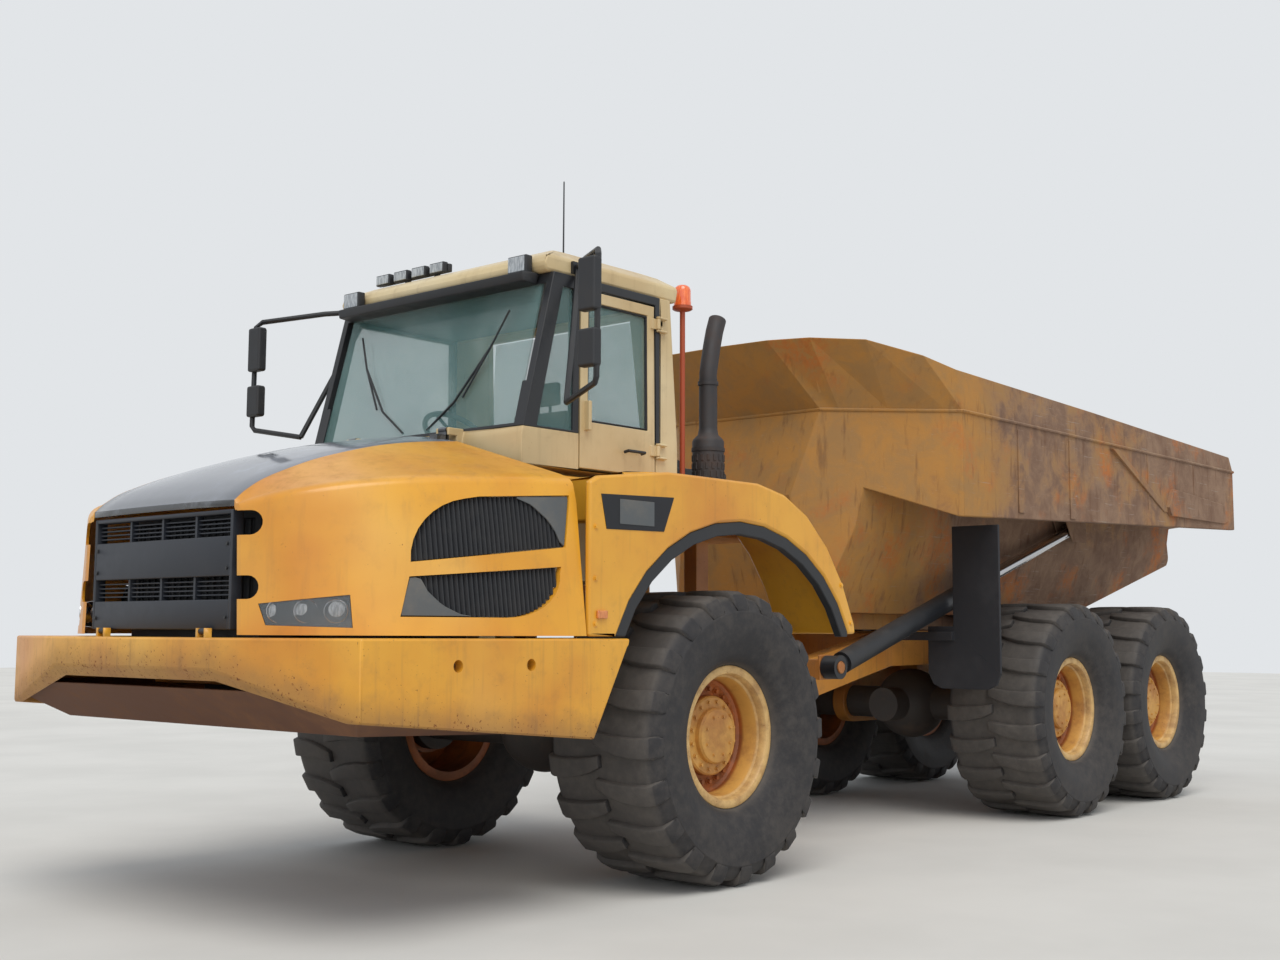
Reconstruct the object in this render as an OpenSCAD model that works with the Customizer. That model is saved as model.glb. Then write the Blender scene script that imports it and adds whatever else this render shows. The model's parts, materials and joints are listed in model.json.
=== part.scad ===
// Articulated six-wheel dump truck, standing empty with its bed down.
// +X points forward, +Y to the driver's left, +Z up, the ground is z = 0.
// Inside the front unit, x is counted from the front axle.

/* [Layout] */
// Front axle to middle axle
wheelbase = 4175; // [4100:5:4400]
// Middle axle to rear axle
bogie_gap = 1670; // [1600:5:1800]
// Front axle to the front of the bumper
front_overhang = 2764; // [2740:2:2900]
// Rear axle to the end of the bed
rear_overhang = 1688; // [1600:2:1800]
// Front axle to the steering pin
hinge_back = 1210; // [1190:5:1260]

/* [Wheels] */
// Outer radius of a tyre, over its lugs
tyre_r = 785; // [760:1:800]
// Width of a tyre
tyre_w = 750; // [700:2:770]
// Distance between the middles of a left and a right tyre
track = 2216; // [2200:2:2260]
// Outer radius of a rim flange
rim_r = 381; // [360:1:400]
// Depth of the tread lugs
lug_depth = 32; // [20:1:45]
// Lugs on each shoulder of a tyre
lug_count = 20; // [14:1:24]
// Radius of the spindle that a wheel turns on
spindle_r = 100; // [80:1:120]
// Radius of an axle tube
axle_tube_r = 125; // [100:1:150]
// Radius of an axle's gear housing
gear_housing_r = 273; // [240:1:280]

/* [Front frame] */
// Outer face of the front rails, from the middle
rail_y = 520; // [500:2:560]
// Width of a rail
rail_w = 100; // [60:2:120]
// Underside of the front rails
rail_bottom = 1080; // [1075:1:1100]
// Top of the front rails
rail_top = 1300; // [1260:2:1302]

/* [Bumper] */
// Top of the bumper
bumper_top = 1310; // [1280:2:1312]
// Wall thickness of the bumper
bumper_t = 50; // [20:1:70]
// Half width of the bumper
bumper_y = 1450; // [1440:2:1470]

/* [Hood] */
// Rear edge of the hood, ahead of the front axle
hood_rear = 1200; // [1195:1:1215]
// Thickness of the hood's panels
hood_t = 30; // [15:1:40]
// Lower edge of the hood
hood_foot = 1322; // [1318:1:1330]

/* [Fenders] */
// Outer face of the fenders
fender_y = 1450; // [1440:2:1470]
// Thickness of the fender panels
fender_t = 40; // [20:1:50]
// Height of the fender deck
deck_z = 2160; // [2140:2:2200]

/* [Cab] */
// Half width of the cab
cab_y = 880; // [860:2:900]
// Wall thickness of the cab
cab_t = 45; // [30:1:60]
// Top of the cab floor
floor_z = 1680; // [1660:2:1720]
// Sill height of the cab windows
sill_z = 2400; // [2380:2:2420]
// Underside of the roof
roof_z = 3250; // [3230:2:3270]
// Top of the roof
roof_top = 3428; // [3400:2:3450]

/* [Rear frame] */
// Outer face of the rear rails, from the middle
beam_y = 480; // [460:2:500]
// Width of a rear rail
beam_w = 120; // [80:2:140]
// Top of the rear rails where the bed rests
beam_top = 1360; // [1340:2:1370]
// Height of a rear rail
beam_h = 260; // [220:2:280]

/* [Bed] */
// Half width of the bed at its front
bed_front_y = 1353; // [1330:1:1380]
// Half width of the bed at its rear
bed_rear_y = 1450; // [1430:1:1470]
// Height of the bed's side rail
bed_rail_z = 2856; // [2820:2:2900]
// Height of the spill guard over the cab end
guard_top = 3310; // [3280:2:3330]
// Underside of the bed floor
bed_floor_z = 1480; // [1470:1:1500]
// Plate thickness of the bed
bed_t = 40; // [25:1:50]
// Height of the tipping hinge
tip_z = 1450; // [1445:1:1460]
// Tipping hinge ahead of the end of the bed
tip_from_end = 1033; // [1000:1:1060]

/* [Cylinders] */
// Distance of the hoist cylinders from the middle
hoist_y = 900; // [890:1:910]
// Radius of a hoist barrel
hoist_barrel_r = 72; // [60:1:80]
// Radius of a hoist rod
hoist_rod_r = 45; // [35:1:55]
// Radius of a steering barrel
steer_barrel_r = 52; // [40:1:54]
// Radius of a steering rod
steer_rod_r = 28; // [20:1:35]
// Height of the steering cylinders
steer_z = 985; // [980:1:990]

/* [Hidden] */
$fn = 48;

yellow = "#e3a51e";
cream = "#d9cfa0";
rust = "#9a5a2c";
black = "#25272b";
grey = "#6d7074";
rubber = "#3a3b3c";
glass = "#7fb0b5";
silver = "#a9adb0";

// Clearances: between fixed pieces, at pins, and between moving pieces
seat_gap = 0.3;
pin_gap = 0.5;
move_gap = 10;

// Places along the truck
axle_f = (wheelbase + bogie_gap + rear_overhang - front_overhang) / 2;
axle_m = axle_f - wheelbase;
axle_r = axle_m - bogie_gap;
bed_end = axle_r - rear_overhang;
steer_x = axle_f - hinge_back;
tip_x = bed_end + tip_from_end;
hub_z = tyre_r;
wheel_y = track / 2;

// Small helpers

module at_front_axle() translate([axle_f, 0, 0]) children();

module at_steer_pin() translate([steer_x, 0, 0]) children();

module both_sides() {
    children();
    mirror([0, 1, 0]) children();
}

// A side outline, as x and z, made solid from y0 to y1
module across(y0, y1) translate([0, y1, 0]) rotate([90, 0, 0]) linear_extrude(y1 - y0) children();

// A front outline, as y and z, made solid from x0 to x1
module along(x0, x1) translate([x0, 0, 0]) rotate([90, 0, 90]) linear_extrude(x1 - x0) children();

// A plan outline, as x and y, made solid from z0 to z1
module upright(z0, z1) translate([0, 0, z0]) linear_extrude(z1 - z0) children();

module block(x, y, z) translate([x[0], y[0], z[0]]) cube([x[1] - x[0], y[1] - y[0], z[1] - z[0]]);

// A round bar from point a to point b
module bar(a, b, r) {
    d = b - a;
    translate(a) rotate([0, acos(d.z / norm(d)), atan2(d.y, d.x)]) cylinder(h = norm(d), r = r);
}

module pin_y(x, z, r, y) translate([x, y[1], z]) rotate([90, 0, 0]) cylinder(h = y[1] - y[0], r = r);

module pin_z(x, y, r, z) translate([x, y, z[0]]) cylinder(h = z[1] - z[0], r = r);

// The rows of a mirrored outline: the points given, then their mirror images back again
function mirrored(half) = concat(half, [for (i = [len(half) - 1:-1:0]) [half[i].x, -half[i].y]]);

// A skin through rings of points: each ring goes out along one face and comes back along the other
module loft(rings) {
    n = len(rings[0]);
    last = len(rings) - 1;
    points = [for (ring = rings) for (p = ring) p];
    sides = [for (i = [0:last - 1]) for (j = [0:n - 1]) let (a = i * n + j, b = i * n + (j + 1) % n)
        for (t = [[a, a + n, b + n], [a, b + n, b]]) t];
    caps = [for (j = [0:n / 2 - 2]) [j, j + 1, n - 2 - j, n - 1 - j]];
    far_caps = [for (cap = caps) [for (k = [3:-1:0]) last * n + cap[k]]];
    polyhedron(points = points, faces = concat(caps, sides, far_caps), convexity = 8);
}

// Wheels: the axis lies along Y, and +Y is the outer side

tread_r = tyre_r - lug_depth;
bead_r = rim_r - 36;
rim_half = tyre_w * 0.36;
flange_t = 22;
// Rings of points round a tyre: two on a lug, one in the groove beside it
lug_rings = 3;
ring_turn = 360 / (lug_count * lug_rings);
tyre_seat_r = (rim_r + seat_gap) / cos(ring_turn / 2);

// Half a tyre's section as radius and distance from the middle: seat, sidewall, shoulder, tread edge
function tyre_half(raised) = [[tyre_seat_r, rim_half - 8], [rim_r + 220, tyre_w / 2],
    [tread_r - (raised ? 20 : 48), tyre_w / 2 - 16], [raised ? tyre_r : tread_r,
        tyre_w / 2 - (raised ? 62 : 85)]];

// The left side's lugs lead the right side's by one ring
function tyre_ring(i) = let (turn = (i - 1) * ring_turn, left = tyre_half(i % lug_rings < 2),
        right = [for (p = backwards(tyre_half(i % lug_rings > 0))) [p[0], -p[1]]])
    [for (p = concat(left, right)) [p[0] * sin(turn), p[1], -p[0] * cos(turn)]];

// A skin through rings that close on themselves
module closed_loft(rings) {
    n = len(rings[0]);
    count = len(rings);
    points = [for (ring = rings) for (p = ring) p];
    sides = [for (i = [0:count - 1]) for (j = [0:n - 1])
        let (a = i * n, b = (i + 1) % count * n, k = (j + 1) % n)
        for (t = [[a + j, a + k, b + k], [a + j, b + k, b + j]]) t];
    polyhedron(points = points, faces = sides, convexity = 8);
}

module tyre() color(rubber) closed_loft([for (i = [0:lug_count * lug_rings - 1]) tyre_ring(i)]);

hub_r = 215;
hub_in = 60;
hub_out = 150;
spindle_in = 100;

module rim() color(yellow) rotate([-90, 0, 0]) rotate_extrude()
    polygon([[0, hub_out + 45], [150, hub_out + 45], [150, hub_out], [hub_r, hub_out], [hub_r, 90],
        [bead_r - 20, 90], [bead_r - 20, rim_half], [rim_r, rim_half], [rim_r, rim_half - flange_t],
        [bead_r, rim_half - flange_t], [bead_r, flange_t - rim_half], [rim_r, flange_t - rim_half],
        [rim_r, -rim_half], [bead_r - 20, -rim_half], [bead_r - 20, 60], [hub_r, 60], [hub_r, -hub_in],
        [spindle_r + pin_gap, -hub_in], [spindle_r + pin_gap, spindle_in + pin_gap],
        [0, spindle_in + pin_gap]]);

module on_hub(x, side) {
    if (side > 0) translate([x, wheel_y, hub_z]) children();
    if (side < 0) mirror([0, 1, 0]) translate([x, wheel_y, hub_z]) children();
}

module tyre_front_left() on_hub(axle_f, 1) tyre();
module tyre_front_right() on_hub(axle_f, -1) tyre();
module tyre_mid_left() on_hub(axle_m, 1) tyre();
module tyre_mid_right() on_hub(axle_m, -1) tyre();
module tyre_rear_left() on_hub(axle_r, 1) tyre();
module tyre_rear_right() on_hub(axle_r, -1) tyre();
module rim_front_left() on_hub(axle_f, 1) rim();
module rim_front_right() on_hub(axle_f, -1) rim();
module rim_mid_left() on_hub(axle_m, 1) rim();
module rim_mid_right() on_hub(axle_m, -1) rim();
module rim_rear_left() on_hub(axle_r, 1) rim();
module rim_rear_right() on_hub(axle_r, -1) rim();

// An axle: tube, gear housing, brake drums and the spindles that the wheels turn on
module axle(x, nose) color(grey) translate([x, 0, hub_z]) {
    sphere(r = gear_housing_r);
    pin_y(0, 0, axle_tube_r, [-wheel_y + hub_in + 40, wheel_y - hub_in - 40]);
    both_sides() {
        pin_y(0, 0, 190, [wheel_y - hub_in - 90, wheel_y - hub_in - move_gap]);
        pin_y(0, 0, spindle_r, [wheel_y - hub_in - 60, wheel_y + spindle_in]);
    }
    rotate([0, 90, 0]) translate([0, 0, nose > 0 ? 0 : nose]) cylinder(h = abs(nose), r = 130);
}

module spring_seat(x, y, top) block([x - 70, x + 70], [y - 60, y + 60], [hub_z + axle_tube_r - 20, top]);

module front_axle() {
    axle(axle_f, -400);
    color(grey) both_sides() spring_seat(axle_f, rail_y - rail_w / 2, rail_bottom);
}

module mid_axle() axle(axle_m, 420);

module rear_axle() axle(axle_r, 380);

// Front unit

hitch_half = 170;
ear_low = [780, 860];
ear_high = [1110, 1190];
hitch_pin_r = 60;
steer_pin_r = 30;
steer_front = [950, 360];
steer_rear = [-250, 450];
steer_lug = 65;

module front_frame() color(yellow) {
    at_front_axle() both_sides() {
        across(rail_y - rail_w, rail_y)
            polygon([[-950, rail_bottom], [2300, rail_bottom], [2300, rail_top], [-950, rail_top]]);
        block([2290, front_overhang - bumper_t - seat_gap], [rail_y - rail_w, rail_y],
            [rail_top - 130, bumper_top - bumper_plate - seat_gap]);
    }
    at_front_axle() {
        block([2180, 2300], [-rail_y + 10, rail_y - 10], [rail_bottom + 2, rail_top - 2]);
        block([-750, -330], [-rail_y + 10, rail_y - 10], [rail_bottom + 2, rail_top - 2]);
    }
    difference() {
        at_steer_pin() {
            block([250, 800], [-hitch_half, hitch_half], [ear_low[0], rail_bottom + 20]);
            for (ear = [ear_low, ear_high]) {
                block([0, 480], [-150, 150], ear);
                pin_z(0, 0, 150, ear);
            }
        }
        at_steer_pin() pin_z(0, 0, hitch_pin_r + pin_gap, [ear_low[0] - 1, ear_high[1] + 1]);
    }
    // Brackets and pins for the barrels of the steering cylinders
    at_steer_pin() both_sides() {
        block([steer_front.x - 60, steer_front.x + 110], [steer_front.y - 60, rail_y - 5],
            [steer_z + steer_lug + pin_gap, rail_bottom + 15]);
        block([steer_front.x + 70, steer_front.x + 110], [steer_front.y - 60, rail_y - 5],
            [steer_z - steer_lug - 20, rail_bottom + 15]);
        block([steer_front.x - 60, steer_front.x + 110], [steer_front.y - 60, steer_front.y + 60],
            [steer_z - steer_lug - 20, steer_z - steer_lug - pin_gap]);
        pin_z(steer_front.x, steer_front.y, steer_pin_r, [steer_z - steer_lug - 20, rail_bottom]);
    }
}

module engine() color(grey) at_front_axle() {
    block([1180, 2120], [-360, 360], [1000, 1880]);
    for (x = [1300, 1960]) block([x, x + 100], [-rail_y + 20, rail_y - 20], [rail_top, rail_top + 45]);
}

module radiator() color(black) at_front_axle() {
    difference() {
        block([2230, 2430], [-540, 540], [rail_top, 1900]);
        block([2400, 2431], [-490, 490], [1350, 1860]);
    }
    for (i = [0:17]) block([2395, 2415], [-495 + i * 57, -480 + i * 57], [1340, 1870]);
}

// Bumper: flat front, swept corners, and sides that end ahead of the front wheels

bumper_seam = 2565;
bumper_front_y = 670;
bumper_front_low = 1170;
bumper_seam_low = 960;
bumper_rear_top = 900;
bumper_rear_low = 1150;
bumper_plate = 45;

module bumper_plan(inset) {
    polygon(mirrored([[800, bumper_y - inset], [bumper_seam - inset * 0.2, bumper_y - inset],
        [front_overhang - inset, bumper_front_y - inset * 0.6]]));
}

module bumper() color(yellow) at_front_axle() {
    difference() {
        intersection() {
            upright(700, bumper_top) bumper_plan(0);
            across(-bumper_y, bumper_y) polygon([[bumper_rear_top, bumper_top], [bumper_rear_top + 10, 1270],
                [bumper_rear_low, 830], [bumper_seam, bumper_seam_low], [front_overhang, bumper_front_low],
                [front_overhang, bumper_top]]);
        }
        upright(600, bumper_top - bumper_plate) bumper_plan(bumper_t);
        upright(600, bumper_top + 1) polygon(mirrored([[700, 1240], [1900, 1180], [2200, 1020], [2440, 700],
            [2500, 560]]));
        for (x = [1580, 2030]) pin_y(x, 1190, 28, [-bumper_y - 1, bumper_y + 1]);
    }
    // Step hinge ears and pins
    both_sides() for (y = [grille_lug_y - 40, grille_lug_y + 25])
        block([grille_hinge.x - 16, grille_hinge.x + 16], [y, y + 15], [bumper_top - 2,
            grille_hinge[1] + 14]);
    both_sides() pin_y(grille_hinge.x, grille_hinge[1], 7, [grille_lug_y - 40, grille_lug_y + 40]);
}

module belly_shape(inset) intersection() {
    upright(600, 1250) bumper_plan(bumper_t + seat_gap + inset);
    across(-1500, 1500) polygon([[1250, 1180 + inset], [1250, 850 + inset], [2380, 890 + inset],
        [front_overhang - bumper_t - inset, 1120 + inset], [front_overhang - bumper_t, 1180 + inset]]);
    along(1200, 2800) polygon([[-1400 + inset, 1180 + inset], [-1400 + inset, 1000 + inset],
        [-1130, 850 + inset],
        [1130, 850 + inset], [1400 - inset, 1000 + inset], [1400 - inset, 1180 + inset]]);
}

module belly_pan() color(rust) at_front_axle() difference() {
    belly_shape(0);
    translate([0, 0, 1]) belly_shape(25);
    block([1200, 2300], [-rail_y - 20, rail_y + 20], [940, 1300]);
    block([1200, 2800], [-1500, 1500], [rail_bottom, 1300]);
}

// Hood

strip_gap = seat_gap;
// x, crown height, black strip half width, its edge height,
// shoulder half width, shoulder height, foot half width
hood_rows = [
    [hood_rear, 2395, 500, 2335, 1340, 2085, 1440],
    [1500, 2352, 540, 2300, 1285, 2075, 1400],
    [1770, 2300, 570, 2255, 1225, 2060, 1345],
    [2000, 2240, 588, 2200, 1155, 2045, 1275],
    [2190, 2178, 598, 2145, 1080, 2025, 1190],
    [2350, 2112, 604, 2085, 990, 2000, 1090],
    [2480, 2045, 606, 2028, 880, 1970, 965],
    [2570, 1980, 604, 1970, 750, 1935, 800],
    [2620, 1930, 600, 1925, 650, 1905, 680]
];

// The left half of a hood section, d below the surface, from its foot up to the black strip
function hood_side(row, d) = let (w = row[4] - row[2]) [
    [row[6] - d, hood_foot],
    [row[4] + 0.25 * (row[6] - row[4]) - d, row[5] - 120],
    [row[4] + 4 - d, row[5] - 35],
    [row[4] - min(28, 0.3 * w) - 0.7 * d, row[5] - 0.7 * d],
    [row[4] - min(90, 0.7 * w) - 0.2 * d, row[5] + 0.12 * (row[3] - row[5]) - d],
    [row[2] + strip_gap, row[3] - d]];

// The left half of the black strip's section, d below the surface, from its edge to the crown
function strip_side(row, d) = [[row[2], row[3] - d], [row[2] * 0.5, row[3] + 0.8 * (row[1] - row[3]) - d],
    [0, row[1] - d]];

function backwards(list) = [for (i = [len(list) - 1:-1:0]) list[i]];

function at_x(x, outline) = [for (p = outline) [x, p.x, p.y]];

module hood_half() loft([for (row = hood_rows)
    at_x(row[0], concat(hood_side(row, 0), backwards(hood_side(row, hood_t))))]);

module strip_half() loft([for (row = hood_rows)
    at_x(row[0], concat(strip_side(row, 0), backwards(strip_side(row, hood_t))))]);

// The two side intakes as x and z, grown by g
module upper_vent(g) offset(delta = g) polygon(concat([[1285, 1745], [1235, 2000], [1740, 1965]],
    [for (a = [100:20:180]) [1760 + 330 * cos(180 - a), 1650 + 305 * sin(a)]]));

module lower_vent(g) offset(delta = g) polygon(concat([[2150, 1405], [2100, 1585], [1320, 1650]],
    [for (a = [0:22.5:90]) [1650 - 320 * cos(a), 1620 - 215 * sin(a)]]));

module vent_cut(g) across(900, 1600) {
    upper_vent(g);
    lower_vent(g);
}

lamp_turn = 50;
module lamp_cut(g) translate([2440, 930, 0]) rotate([90, 0, lamp_turn + 90]) translate([0, 0, -260])
    linear_extrude(520) offset(delta = g) polygon([[-190, 1355], [190, 1365], [225, 1460], [-175, 1500]]);

module hood_shell() color(yellow) at_front_axle() both_sides() difference() {
    hood_half();
    vent_cut(0);
    lamp_cut(0);
    for (z = [[1480, 1585], [1765, 1875]]) block([2500, 2700], [500, 760], z);
}

hood_hinge = [1186, 2405];
hood_lug_y = 380;

module hood_top() color(black) at_front_axle() {
    both_sides() strip_half();
    both_sides() difference() {
        union() {
            block([hood_hinge.x, hood_rear + 60], [hood_lug_y - 30, hood_lug_y + 30],
                [hood_hinge[1] - 85, hood_hinge[1] - 28]);
            block([hood_hinge.x - 12, hood_hinge.x + 12], [hood_lug_y - 30, hood_lug_y + 30],
                [hood_hinge[1] - 85, hood_hinge[1]]);
            pin_y(hood_hinge.x, hood_hinge[1], 16, [hood_lug_y - 30, hood_lug_y + 30]);
        }
        pin_y(hood_hinge.x, hood_hinge[1], 8 + pin_gap, [hood_lug_y - 31, hood_lug_y + 31]);
    }
}

// A skin that lies under the hood's side, from outer to inner mm below it, between two rows
module side_skin(first, last, outer, inner) loft([for (i = [first:last]) let (row = hood_rows[i])
    at_x(row[0], concat([for (k = [0:2]) hood_side(row, outer)[k]],
        [for (k = [2:-1:0]) hood_side(row, inner)[k]]))]);

module side_vents() color(grey) at_front_axle() both_sides() intersection() {
    side_skin(0, 5, 10, 26);
    vent_cut(-seat_gap);
}

module headlights() color(silver) at_front_axle() both_sides() intersection() {
    side_skin(4, 7, 6, 28);
    lamp_cut(-seat_gap);
}

// Grille that folds forward as a service step

grille_hinge = [2645, 1338];
grille_lug_y = 430;
grille_y = 590;

module grille() color(black) at_front_axle() {
    difference() {
        block([2560, 2618], [-grille_y, grille_y], [1345, 1885]);
        for (z = [[1480, 1585], [1765, 1865]]) block([2550, 2630], [-grille_y + 25, grille_y - 25], z);
    }
    for (z = [1480, 1765]) {
        for (i = [0:2]) block([2575, 2600], [-grille_y + 20, grille_y - 20], [z + 20 + i * 28,
            z + 28 + i * 28]);
        for (y = [-280, 0, 280]) block([2570, 2605], [y - 8, y + 8], [z - 5, z + 110]);
    }
    both_sides() difference() {
        union() {
            block([2600, grille_hinge.x], [grille_lug_y - 24, grille_lug_y + 24], [1345, 1352]);
            pin_y(grille_hinge.x, grille_hinge[1], 14, [grille_lug_y - 24, grille_lug_y + 24]);
        }
        pin_y(grille_hinge.x, grille_hinge[1], 7 + pin_gap, [grille_lug_y - 25, grille_lug_y + 25]);
    }
}

// Fenders over the front wheels

arch_centre = [-35, 1000];
arch_half = 1030;
arch_rise = 870;
fender_tip = -1120;
fender_low = 1335;
fender_front = 1190;

function ellipse_arc(centre, a, b, from, to, steps) =
    [for (i = [0:steps]) let (t = from + (to - from) * i / steps) centre + [a * cos(t), b * sin(t)]];

function arch_line(grow) = ellipse_arc(arch_centre, arch_half + grow, arch_rise + grow, 20, 158, 12);

// The outer line of the fender, from its front foot over the deck to its tip
fender_top_line = [[fender_front, 1320], [fender_front, 2070], [1130, deck_z - 60], [600, deck_z],
    [-180, deck_z],
    [-420, deck_z - 45], [-640, deck_z - 150], [-840, deck_z - 320], [-1000, deck_z - 530],
    [fender_tip, fender_low + 60], [fender_tip - 10, fender_low]];

module fender_side_plan(line) polygon(line);

module fender() at_front_axle() {
    // Outer panel
    across(fender_y - fender_t, fender_y) difference() {
        polygon(concat(fender_top_line, [[-900, fender_low], [-700, 700], [900, 700], [940, 1320]]));
        polygon(concat(arch_line(70), [[-1100, 600], [1100, 600]]));
        block_2d([-1300, 1300], [500, 1318]);
    }
    // Deck up to the cab's tub, and the curved roof of the wheel arch
    block([cab_rear, 900], [tub_y + seat_gap, cab_y + 30], [deck_z - fender_t, deck_z]);
    across(cab_y + 20, fender_y - fender_t + 5) difference() {
        polygon(concat([[900, 1900], [900, deck_z - 30]], [for (i = [3:10]) fender_top_line[i]],
            [[-1000, fender_low], [-960, 1500]]));
        polygon([[860, 1800], [860, deck_z - 70], [600, deck_z - fender_t], [-180, deck_z - fender_t],
            [-400, deck_z - 85], [-610, deck_z - 185], [-805, deck_z - 350], [-962, deck_z - 550],
            [fender_tip + 42, fender_low + 50], [fender_tip + 34, fender_low - 1], [-900, fender_low - 5]]);
    }
}

module block_2d(x, y) translate([x[0], y[0]]) square([x[1] - x[0], y[1] - y[0]]);

module fender_left() color(yellow) fender();

module fender_right() color(yellow) mirror([0, 1, 0]) fender();

module fender_trim() color(black) at_front_axle() both_sides() {
    across(fender_y - 60, fender_y - 8) difference() {
        polygon(concat(arch_line(70 - seat_gap), [[-1100, 600], [1100, 600]]));
        polygon(concat(arch_line(0), [[-1300, 600], [1300, 600]]));
        block_2d([-1400, 1400], [500, 1318]);
    }
}

// Cab

cab_rear = -160;
cab_front = 1100;
screen_top = 870;
tub_y = 660;
belt_z = 2200;

// Side outline of the cab, from the rear foot round to the front foot
module cab_outline(inset) offset(delta = -inset) polygon([[cab_rear, belt_z], [cab_rear, sill_z],
    [-90, roof_z],
    [screen_top, roof_z], [cab_front, sill_z - 40], [cab_front, belt_z]]);

door_x = [40, 660];
door_z = [2215, 3190];
door_knuckles = [2330, 3060];
door_knuckle_h = 60;

module side_window(g) offset(delta = g) polygon([[30, sill_z + 10], [40, roof_z - 70],
    [screen_top - 70, roof_z - 70],
    [cab_front - 110, sill_z + 10]]);

module door_hole(g) offset(delta = g) polygon([[door_x[0], door_z[0]], [door_x[0] + 12, door_z[1]],
    [door_x[1], door_z[1]], [door_x[1], door_z[0]]]);

module cab_frame() color(cream) at_front_axle() {
    difference() {
        union() {
            across(-cab_y, cab_y) cab_outline(0);
            block([cab_rear, cab_front], [-tub_y, tub_y], [floor_z - 60, belt_z]);
        }
        across(-cab_y + cab_t, cab_y - cab_t) cab_outline(cab_t);
        block([cab_rear + cab_t, cab_front - cab_t], [-tub_y + cab_t, tub_y - cab_t], [floor_z, belt_z + 60]);
        // Everything above the sill ahead of the rear pillars belongs to the dark window frames
        block([0, cab_front + 10], [-cab_y - 10, cab_y + 10], [sill_z, roof_z + 10]);
        along(cab_rear - 100, 10) polygon([[-640, sill_z + 40], [640, sill_z + 40], [600, roof_z - 80],
            [-600, roof_z - 80]]);
        across(cab_y - cab_t - 1, cab_y + 1) door_hole(move_gap);
    }
    // Ears and pins of the hood hinge
    both_sides() {
        for (y = [hood_lug_y - 52, hood_lug_y + 34])
            block([cab_front - 10, hood_hinge.x + 12], [y, y + 18], [hood_hinge[1] - 30, hood_hinge[1] + 12]);
        block([cab_front - 10, cab_front + 40], [hood_lug_y - 52, hood_lug_y + 52], [2330,
            hood_hinge[1] - 20]);
        pin_y(hood_hinge.x, hood_hinge[1], 8, [hood_lug_y - 52, hood_lug_y + 52]);
    }
    // Ears and pins of the door hinge
    for (z = door_knuckles) {
        for (ear = [z - 15, z + door_knuckle_h + pin_gap]) {
            block([-40, -5], [cab_y - 10, door_hinge[1] + 8], [ear, ear + 15 - pin_gap]);
            block([-40, 10], [cab_y + seat_gap, door_hinge[1] + 8], [ear, ear + 15 - pin_gap]);
            block([-40, door_hinge.x], [door_hinge[1] - 10, door_hinge[1] + 8], [ear, ear + 15 - pin_gap]);
            pin_z(door_hinge.x, door_hinge[1], 12, [ear, ear + 15 - pin_gap]);
        }
        pin_z(door_hinge.x, door_hinge[1], 8, [z - 15, z + door_knuckle_h + 15]);
    }
    // Mounts between the floor and the frame rails
    both_sides() for (x = [cab_rear + 20, cab_front - 180])
        block([x, x + 120], [rail_y - rail_w, rail_y], [rail_top, floor_z - 60]);
}

module window_frames() color(black) at_front_axle() {
    difference() {
        intersection() {
            across(-cab_y, cab_y) cab_outline(0);
            block([seat_gap, cab_front + 10], [-cab_y - 10, cab_y + 10], [sill_z + seat_gap, roof_z + 10]);
        }
        across(-cab_y + cab_t, cab_y - cab_t) cab_outline(cab_t);
        block([0, cab_front - cab_t - 30], [-cab_y + cab_t, cab_y - cab_t], [sill_z - 10, roof_z - 60]);
        across(-cab_y - 1, -cab_y + cab_t + 1) side_window(0);
        across(cab_y - cab_t - 1, cab_y + 1) difference() {
            side_window(0);
            block_2d([door_x[1] + move_gap, door_x[1] + move_gap + 45], [2300, 3300]);
        }
        across(cab_y - cab_t - 1, cab_y + 1) door_hole(move_gap);
        // Windscreen opening
        along(screen_top - 60, cab_front + 20) polygon([[-cab_y + 75, sill_z + 20], [cab_y - 75, sill_z + 20],
            [cab_y - 85, roof_z - 60], [-cab_y + 85, roof_z - 60]]);
    }
}

module cab_glass() color(glass) at_front_axle() {
    // Windscreen, set between the pillars
    intersection() {
        difference() {
            across(-cab_y, cab_y) cab_outline(12);
            across(-cab_y - 1, cab_y + 1) cab_outline(24);
        }
        along(screen_top - 60, cab_front + 20) polygon([[-cab_y + 75 + seat_gap, sill_z + 20 + seat_gap],
            [cab_y - 75 - seat_gap, sill_z + 20 + seat_gap], [cab_y - 85 - seat_gap, roof_z - 60 - seat_gap],
            [-cab_y + 85 + seat_gap, roof_z - 60 - seat_gap]]);
        block([screen_top - 80, cab_front], [-cab_y, cab_y], [sill_z, roof_z - 30]);
    }
    across(-cab_y + 16, -cab_y + 28) side_window(-seat_gap);
    across(cab_y - 28, cab_y - 16) difference() {
        side_window(-seat_gap);
        block_2d([-200, door_x[1] + move_gap + 45 + seat_gap], [2300, 3300]);
    }
    along(cab_rear + 30, cab_rear + 42) polygon([[-640 + seat_gap, sill_z + 40 + seat_gap],
        [640 - seat_gap, sill_z + 40 + seat_gap], [600 - seat_gap, roof_z - 80 - seat_gap],
        [-600 + seat_gap, roof_z - 80 - seat_gap]]);
}

roof_y = 860;
module roof() color(cream) at_front_axle() difference() {
    intersection() {
        across(-roof_y, roof_y) polygon([[-170, roof_z], [-190, roof_z + 90], [-120, roof_top - 30],
            [300, roof_top], [760, roof_top - 25], [900, roof_top - 85], [920, roof_z + 40], [900, roof_z]]);
        along(-200, 930) polygon([[-roof_y, roof_z], [-roof_y, roof_z + 90], [-roof_y + 110, roof_top - 20],
            [-roof_y + 300, roof_top], [roof_y - 300, roof_top], [roof_y - 110, roof_top - 20],
            [roof_y, roof_z + 90], [roof_y, roof_z]]);
    }
    block([-100, 800], [-760, 760], [roof_z - 1, roof_z + 60]);
}

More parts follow.
